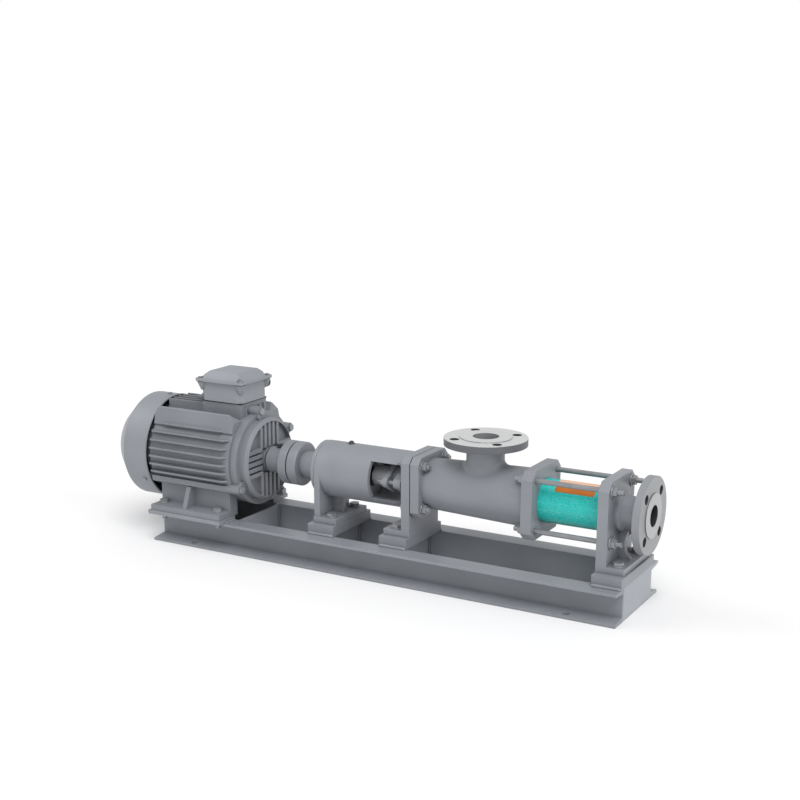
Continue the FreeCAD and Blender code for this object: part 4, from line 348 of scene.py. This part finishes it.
LOOKS = {
    "casting": enamel("cast_enamel", **CAST),
    # Motor and terminal box wear one paint: the motor's is darkened as painted shade, the box's
    # lightened as painted light.
    "motor_casting_painted_shade": enamel("motor_enamel_painted_shade", tinted(GREY, 0.86), scuff_and_highlight=2.4, corner_shade=0.35, **FINE_CAST),
    "box_casting_painted_light": enamel("box_enamel_painted_light", tinted(GREY, 1.10), **FINE_CAST),
    "inlet_casting": enamel("inlet_casting_enamel", flange=INLET, **CAST),
    # The outlet casing's paint lightened as painted light.
    "lit_outlet_casting": enamel("outlet_casting_enamel", tinted(GREY, 1.07), 0.32, corner_shade=0.80,
                             flange=OUTLET, **CAST),
    "section": enamel("section_enamel", GREY, 0.34, waves=0.6, scuff_and_highlight=2.3, **ROLLED),
    # The rear channel and the plates: the same paint lightened as painted light.
    "inner_section_painted_light": enamel("inner_section_enamel", tinted(GREY, 1.35), 0.32, waves=0.8,
                            scuff_and_highlight=1.9, **ROLLED),
    # The fan cover's paint lightened a little as painted light.
    "sheet": enamel("sheet_enamel", tinted(GREY, 1.04), 0.36, **SHEET),
    # The coupling's paint darkened a little as painted shade.
    "coupling": enamel("coupling_enamel", tinted(GREY, 0.94), 0.38, **TURNED),
    "fastener": steel("plated_fastener", PLATED, 0.34, 0.45, depth=0.02, edge=0.7),
    "rod": steel("plated_rod", PLATED, 0.32, 0.45, LENGTHWISE, 0.02),
    # Darkened far below turned steel as painted shade.
    "shaft": steel("shaded_turned_shaft", (0.24, 0.245, 0.255), 0.34, 0.85, ROUND_THE_SHAFT),
    "sleeve": steel("ground_sleeve", (0.44, 0.445, 0.455), 0.42, 0.20, ROUND_THE_SHAFT),
    "dark_steel": steel("black_steel", (0.06, 0.062, 0.066), 0.42, 0.6),
    "stainless": steel("polished_steel", (0.66, 0.67, 0.68), 0.18, 1.0, (0.3, 1, 1), 0.01),
    "tube": hammered("hammered_green", (0.010, 0.500, 0.452)),
    "orange": vinyl("orange_band", (0.47, 0.132, 0.016)),
    "rubber": rubber("black_rubber", (0.018, 0.018, 0.019)),
    # Near black as the painted shadow of the seam under the terminal box.
    "seal": rubber("seal_strip_painted_shadow", (0.008, 0.008, 0.009), 0.8),
    "lining": rubber("lining_rubber", (0.022, 0.021, 0.020), 0.5),
    "gasket": rubber("fibre_gasket", (0.085, 0.088, 0.085), 0.8, 0.08),
    "plastic": rubber("moulded_plastic", (0.035, 0.035, 0.038), 0.45, 0.02),
    "board": rubber("terminal_board", (0.10, 0.05, 0.03), 0.4, 0.02),
    "packing": banded("braided_packing", (0.16, 0.15, 0.13), (0.04, 0.04, 0.04), 9000, "DIAGONAL",
                      0.0, 0.8),
    "lamination": banded("laminations", (0.30, 0.30, 0.31), (0.10, 0.10, 0.11), 2000, "X", 0.8),
    "winding": banded("copper_winding", (0.52, 0.20, 0.08), (0.20, 0.06, 0.02), 1500, "DIAGONAL",
                      0.8, 0.35),
}

WEARS = {
    "casting": ("bearing_housing", "bearing_cover", "stuffing_box", "gland_follower"),
    "motor_casting_painted_shade": ("motor_frame", "drive_end_shield", "rear_end_shield"),
    "box_casting_painted_light": ("terminal_box", "terminal_box_lid"),
    "inlet_casting": ("suction_casing",),
    "lit_outlet_casting": ("outlet_casing",),
    "section": ("base_channel_front", "motor_pads", "foot_pads"),
    "inner_section_painted_light": ("base_channel_rear", "base_plates"),
    "sheet": ("fan_cover",),
    "coupling": ("motor_coupling_half", "pump_coupling_half"),
    "fastener": ("fan_cover_screws", "end_shield_bolts", "motor_foot_bolts", "pump_foot_bolts",
                 "bearing_cover_bolts", "terminal_lid_screws", "lifting_eye", "joint_bolts",
                 "gland_studs"),
    "rod": ("tie_rods",),
    "sleeve": ("shaft_sleeve",),
    "shaft": ("motor_shaft", "pump_shaft", "motor_shaft_key", "pump_shaft_key",
              "motor_bearing_inner_rings", "pump_bearing_inner_rings", "bearing_outer_rings",
              "bearing_spacer", "left_joint_pin", "right_joint_pin", "joint_rod"),
    "dark_steel": ("motor_half_screw", "pump_half_screw", "grease_plug"),
    "stainless": ("helical_rotor",),
    "tube": ("stator_tube",),
    "rubber": ("coupling_spider", "joint_boots", "oil_seals"),
    "lining": ("stator_lining",),
    "gasket": ("joint_gasket", "terminal_box_gasket"),
    "plastic": ("cable_gland", "cooling_fan"),
    "board": ("terminal_board",),
    "packing": ("packing_rings",),
    "lamination": ("motor_stator_core", "motor_rotor_core"),
    "winding": ("motor_winding",),
}


def dress(name, look):
    """Give a CAD node its material."""
    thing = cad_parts[name]
    if thing.material_slots:
        for held in thing.material_slots:
            held.material = LOOKS[look]
    else:
        thing.data.materials.append(LOOKS[look])


dressed = set()
for look_name, node_names in WEARS.items():
    for node_name in node_names:
        dress(node_name, look_name)
        dressed.add(node_name)
assert dressed == set(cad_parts), set(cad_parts) - dressed


# Added pieces

SIDES = ((-1, "front"), (1, "rear"))
RIGHT, LEFT, UP, DOWN = (1, 0, 0), (-1, 0, 0), (0, 0, 1), (0, 0, -1)

TIE_RODS = 48           # distance of each rod from the axis, in Y and in Z
JOINT_BOLTS = 42.5      # the same for the bolts of the flange joint
THREAD_PITCH = 1.5
DECK = 63               # top of the base channels
CHANNEL_END = 517.5     # X of the channels' right end
CHANNEL_EDGE = 110      # half the width of the base
CHANNEL_BACK = 70       # half the gap between the channels' webs
PUMP_FOOT_TOP = 95      # where the washers of the pump's feet lie
MOTOR_FOOT_TOP = 83     # the same for the motor
STEEP = 0.9             # above this share of Z, a direction counts as upright


def piece(name, points, faces, look, body="frame", smooth=True):
    """Mesh piece from points in millimetres, dressed and riding on a body."""
    mesh = bpy.data.meshes.new(name)
    mesh.from_pydata([Vector(p) * MM for p in points], [], faces)
    mesh.validate()
    mesh.update()
    thing = bpy.data.objects.new(name, mesh)
    bpy.context.scene.collection.objects.link(thing)
    mesh.materials.append(LOOKS[look])
    if smooth:
        mesh.shade_smooth()
    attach(thing, body)
    return thing


def frame_of(along):
    """Unit vectors u, v and the axis of a round piece."""
    axis = Vector(along).normalized()
    side = Vector(UP) if abs(axis.z) < STEEP else Vector(RIGHT)
    u = side.cross(axis).normalized()
    return u, axis.cross(u), axis


def lathed(name, start, along, profile, look, sides=48):
    """Turned piece: profile holds (distance along, radius) and closes on itself."""
    u, v, axis = frame_of(along)
    start = Vector(start)
    points, faces = [], []
    for i in range(sides):
        angle = 2 * math.pi * i / sides
        out = u * math.cos(angle) + v * math.sin(angle)
        points += [start + axis * d + out * r for d, r in profile]
    count = len(profile)
    for i in range(sides):
        this, following = i * count, (i + 1) % sides * count
        for j in range(count):
            k = (j + 1) % count
            faces.append((this + j, this + k, following + k, following + j))
    piece(name, points, faces, look)


def thread(name, start, along, length, radius, look="rod"):
    """Screw thread over a plain rod end, fading out at the tip, which is a low cone."""
    u, v, axis = frame_of(along)
    start = Vector(start)
    sides, rows_per_turn, cone = 28, 5, 0.3
    depth, sunk = THREAD_PITCH * 0.28, 0.4      # sunk is the share of the depth inside the rod
    rows = int(length / THREAD_PITCH * rows_per_turn)
    points, faces = [], []
    for j in range(rows + 1):
        d = length * j / rows
        fade = min(1.0, (length - d) / THREAD_PITCH + 0.2)
        for i in range(sides):
            turn = i / sides
            phase = (d / THREAD_PITCH - turn) % 1.0
            r = radius + (depth * (1 - abs(2 * phase - 1)) - depth * sunk) * fade
            angle = 2 * math.pi * turn
            points.append(start + axis * d + (u * math.cos(angle) + v * math.sin(angle)) * r)
    for j in range(rows):
        for i in range(sides):
            k = (i + 1) % sides
            faces.append((j * sides + i, j * sides + k, (j + 1) * sides + k,
                          (j + 1) * sides + i))
    tip, root, last = len(points), len(points) + 1, rows * sides
    points += [start + axis * (length + cone), start]
    faces += [(last + i, last + (i + 1) % sides, tip) for i in range(sides)]
    faces += [((i + 1) % sides, i, root) for i in range(sides)]
    piece(name, points, faces, look)


def weld(name, start, end, u, v, size):
    """Fillet weld in a corner between the directions u and v: convex, rippled, tapered ends."""
    start, end, u, v = Vector(start), Vector(end), Vector(u), Vector(v)
    length = (end - start).length
    step_length, arc, sunk = 1.1, 5, 0.3
    steps = max(8, int(length / step_length))
    drift = random.uniform(0, 6)
    points, faces = [], []
    for i in range(steps + 1):
        t = i / steps
        taper = min(1.0, 0.55 + 6 * min(t, 1 - t) * length / 60)
        ripple = 1 + 0.07 * math.sin(i * 1.9) + 0.06 * math.sin(t * length / 9 + drift)
        reach = size * ripple * taper
        corner = start.lerp(end, t)
        points.append(corner - (u + v) * sunk)
        for k in range(arc + 1):
            a = math.pi / 2 * k / arc
            points.append(corner + (u * math.cos(a) + v * math.sin(a)) * reach)
    count = arc + 2
    for i in range(steps):
        for k in range(count):
            a, b = i * count + k, i * count + (k + 1) % count
            faces.append((a, b, b + count, a + count))
    faces.append(tuple(range(count)))
    faces.append(tuple(reversed(range(steps * count, steps * count + count))))
    piece(name, points, faces, "section")


def washer(name, centre, along, inner, outer, thickness):
    """Pressed washer with softened edges."""
    chamfer = 0.25
    lathed(name, centre, along, (
        (0, inner), (0, outer - chamfer), (chamfer, outer), (thickness - chamfer, outer),
        (thickness, outer - chamfer), (thickness, inner)), "fastener")


def blank_band():
    """Orange band glued round the upper front of the tube, with nothing printed on it."""
    tube_radius, glue, thickness = 41.5, 0.05, 0.35
    left, right, low, high = 361.0, 438.0, 42.0, 112.0      # ends in X, edges in degrees
    rows, columns = 44, 30
    rounding, rounded_rows = 2.2, 2.0
    points, faces = [], []
    for radius in (tube_radius - glue, tube_radius + thickness):
        for i in range(rows + 1):
            t = i / rows
            angle = math.radians(low + (high - low) * t)
            inset = rounding * max(0.0, 1 - min(t, 1 - t) * rows / rounded_rows)
            for j in range(columns + 1):
                x = left + inset + (right - left - 2 * inset) * j / columns
                points.append((x, -radius * math.cos(angle), AXIS_Z + radius * math.sin(angle)))
    wide = columns + 1
    top = wide * (rows + 1)
    for i in range(rows):
        for j in range(columns):
            a = top + i * wide + j
            faces.append((a, a + 1, a + wide + 1, a + wide))
            faces.append((a - top, a - top + wide, a - top + wide + 1, a - top + 1))
    rim = list(range(wide)) + [i * wide + columns for i in range(1, rows + 1)]
    rim += [rows * wide + j for j in range(columns - 1, -1, -1)]
    rim += [i * wide for i in range(rows - 1, 0, -1)]
    for a, b in zip(rim, rim[1:] + rim[:1]):
        faces.append((a, b, b + top, a + top))
    band = piece("blank_orange_band", points, faces, "orange")
    band.data.set_sharp_from_angle(angle=math.radians(40))


def four_round(distance):
    """Y and Z of four places round the axis, numbered in this order in the pieces' names."""
    return enumerate([(sy * distance, AXIS_Z + sz * distance)
                      for sy in (-1, 1) for sz in (-1, 1)])


def threads():
    """Bare thread ends of the tie rods and the joint bolts."""
    for i, (y, z) in four_round(TIE_RODS):
        thread(f"tie_rod_thread_outlet_{i}", (489.6, y, z), RIGHT, 11.8, 4.85)
        thread(f"tie_rod_thread_casing_{i}", (300.4, y, z), LEFT, 8.6, 4.85)
    for i, (y, z) in four_round(JOINT_BOLTS):
        thread(f"joint_bolt_thread_{i}", (104.6, y, z), RIGHT, 4.6, 4.95, "fastener")


def welds():
    """Fillet welds of the bars and plates to the channels."""
    foot_bars = ((-150.5, -90.5, 73), (14.5, 74.5, 73), (459.5, CHANNEL_END, 84))
    plate_low, plate_high = 3, 61
    motor_bar_left, motor_bar_right, motor_bar_end = -510, -340, -332.5
    plate_faces = ((-512.5, RIGHT), (-322, LEFT), (-317, RIGHT), (-120.5, LEFT),
                   (-115.5, RIGHT), (44.5, LEFT), (49.5, RIGHT), (512.5, LEFT))
    for side, label in SIDES:
        out, inward = (0, side, 0), (0, -side, 0)
        for i, (left, right, half) in enumerate(foot_bars):
            y = side * half
            weld(f"foot_bar_weld_{label}_{i}", (left, y, DECK), (right, y, DECK), out, UP, 5)
            for x, way, end in ((left, LEFT, "left"), (right, RIGHT, "right")):
                if x < CHANNEL_END:
                    weld(f"foot_bar_weld_{label}_{end}_{i}",
                         (x, side * (CHANNEL_BACK + 1), DECK), (x, y, DECK), way, UP, 4)
        edge = side * CHANNEL_EDGE
        weld(f"motor_bar_weld_{label}_under", (motor_bar_left, edge, DECK),
             (motor_bar_right, edge, DECK), out, DOWN, 3)
        weld(f"motor_bar_weld_{label}_end", (motor_bar_end, side * (CHANNEL_BACK + 2), DECK),
             (motor_bar_end, side * (CHANNEL_EDGE - 2), DECK), RIGHT, UP, 3.5)
        back = side * CHANNEL_BACK
        for i, (x, way) in enumerate(plate_faces):
            weld(f"plate_weld_{label}_{i}", (x, back, plate_low), (x, back, plate_high), way,
                 inward, 3.5)


def washers():
    """Washers that show round the nuts of the tie rods and joint and round the foot bolts."""
    for i, (y, z) in four_round(TIE_RODS):
        washer(f"tie_rod_washer_outlet_{i}", (479.5, y, z), RIGHT, 8.5, 12.0, 2.6)
        washer(f"tie_rod_washer_casing_{i}", (310.5, y, z), LEFT, 8.5, 12.0, 2.6)
    for i, (y, z) in four_round(JOINT_BOLTS):
        washer(f"joint_bolt_washer_{i}", (94.5, y, z), RIGHT, 8.5, 11.6, 2.6)
    for i, (x, y) in enumerate(((-111.2, 44), (39.2, 44), (496.5, 48))):
        for side, label in SIDES:
            washer(f"pump_foot_washer_{label}_{i}", (x, side * y, PUMP_FOOT_TOP), UP,
                   8.5, 12.4, 1.9)
    for i, x in enumerate((-498.5, -358.5)):
        for side, label in SIDES:
            washer(f"motor_foot_washer_{label}_{i}", (x, side * 95, MOTOR_FOOT_TOP), UP,
                   7.5, 11.0, 1.8)


def box_seat_gasket_and_shadow():
    """Thin gasket between the terminal box and the motor's pad, near black as the painted shadow
    of the seam.
    """
    middle, half_x, half_y, low, high, width = -376.0, 49.3, 45.8, 300.8, 302.98, 4.0
    points = []
    for inset in (0.0, width):
        hx, hy = half_x - inset, half_y - inset
        for z in (low, high):
            points += [(middle - hx, -hy, z), (middle + hx, -hy, z),
                       (middle + hx, hy, z), (middle - hx, hy, z)]
    faces = []
    for i in range(4):
        k = (i + 1) % 4
        faces += [(i, k, 4 + k, 4 + i), (4 + i, 4 + k, 12 + k, 12 + i),
                  (8 + k, 8 + i, 12 + i, 12 + k), (k, i, 8 + i, 8 + k)]
    piece("terminal_box_seat_gasket", points, faces, "seal", smooth=False)


def cover_lip():
    """Rolled edge of the fan cover."""
    x, lip_radius, roll = -530.2, 111.0, 0.9
    profile = [(roll * math.cos(math.radians(a)), lip_radius + roll * math.sin(math.radians(a)))
               for a in range(0, 360, 30)]
    lathed("fan_cover_lip", (x, 0, AXIS_Z), RIGHT, profile, "sheet", sides=96)


blank_band()
threads()
welds()
washers()
box_seat_gasket_and_shadow()
cover_lip()


# Floor, light and camera, with azimuths from the front towards the outlet, in degrees

FLOOR_REACH = 14.0      # metres from the middle to an edge
SKY_AS_LIGHT, SKY_AS_BACKDROP = 0.60, 1.0
LIGHTS = (  # name, azimuth, elevation, width in degrees, strength
    ("top_light", 34, 58, 40, 1.80),
    ("left_light", -78, 32, 35, 0.60),
    ("right_light", 78, 22, 35, 0.62),
)
CAMERA_AZIMUTH, CAMERA_ELEVATION, CAMERA_ROLL = 30.3, 15.6, -0.17
CAMERA_DISTANCE = 2.727     # metres
CAMERA_TARGET = (-29.5, 0, 162)
CAMERA_LENS, CAMERA_SENSOR = 61.56, 36
CAMERA_SHIFT = (0.0275, 0.106)


def towards(azimuth, elevation):
    """Unit vector from the pump to where it is lit or seen from."""
    a, e = math.radians(azimuth), math.radians(elevation)
    return Vector((math.sin(a) * math.cos(e), -math.cos(a) * math.cos(e), math.sin(e)))


def floor():
    """Wide pale floor under the base."""
    mesh = bpy.data.meshes.new("floor")
    r = FLOOR_REACH
    mesh.from_pydata([(-r, -r, 0), (r, -r, 0), (r, r, 0), (-r, r, 0)], [], [(0, 1, 2, 3)])
    thing = bpy.data.objects.new("floor", mesh)
    bpy.context.scene.collection.objects.link(thing)
    look = Look("pale_floor", (0.85, 0.85, 0.855), 0.75)
    tone = look.blend(look.noise(0.6), (0.84, 0.84, 0.845), (0.86, 0.86, 0.865))
    mesh.materials.append(look.done(tone))


def soft_light(name, azimuth, elevation, width, strength):
    """Wide soft light from one side, the same everywhere on the floor."""
    data = bpy.data.lights.new(name, "SUN")
    data.angle = math.radians(width)
    data.energy = strength
    thing = bpy.data.objects.new(name, data)
    bpy.context.scene.collection.objects.link(thing)
    thing.rotation_euler = towards(azimuth, elevation).to_track_quat("Z", "Y").to_euler()


def studio():
    """White surroundings, dimmer as light than as backdrop, and the soft lights."""
    world = bpy.data.worlds.new("studio")
    bpy.context.scene.world = world
    world.use_nodes = True
    tree = world.node_tree
    sky = tree.nodes["Background"]
    sky.inputs["Color"].default_value = (1, 1, 1, 1)
    seen = tree.nodes.new("ShaderNodeLightPath")
    strength = tree.nodes.new("ShaderNodeMapRange")
    strength.inputs["To Min"].default_value = SKY_AS_LIGHT
    strength.inputs["To Max"].default_value = SKY_AS_BACKDROP
    tree.links.new(seen.outputs["Is Camera Ray"], strength.inputs["Value"])
    tree.links.new(strength.outputs["Result"], sky.inputs["Strength"])
    for light in LIGHTS:
        soft_light(*light)
    bpy.context.scene.view_settings.view_transform = "Standard"


def camera():
    """Camera at the photo's three quarter view, found from points of the pump."""
    data = bpy.data.cameras.new("camera")
    data.sensor_width = CAMERA_SENSOR
    data.lens = CAMERA_LENS
    data.shift_x, data.shift_y = CAMERA_SHIFT
    data.clip_start, data.clip_end = 0.1, 60
    thing = bpy.data.objects.new("camera", data)
    bpy.context.scene.collection.objects.link(thing)
    back = towards(CAMERA_AZIMUTH, CAMERA_ELEVATION)
    thing.location = Vector(CAMERA_TARGET) * MM + back * CAMERA_DISTANCE
    roll = Matrix.Rotation(math.radians(CAMERA_ROLL), 3, "Z").to_quaternion()
    thing.rotation_mode = "QUATERNION"
    thing.rotation_quaternion = back.to_track_quat("Z", "Y") @ roll
    bpy.context.scene.camera = thing


floor()
studio()
camera()
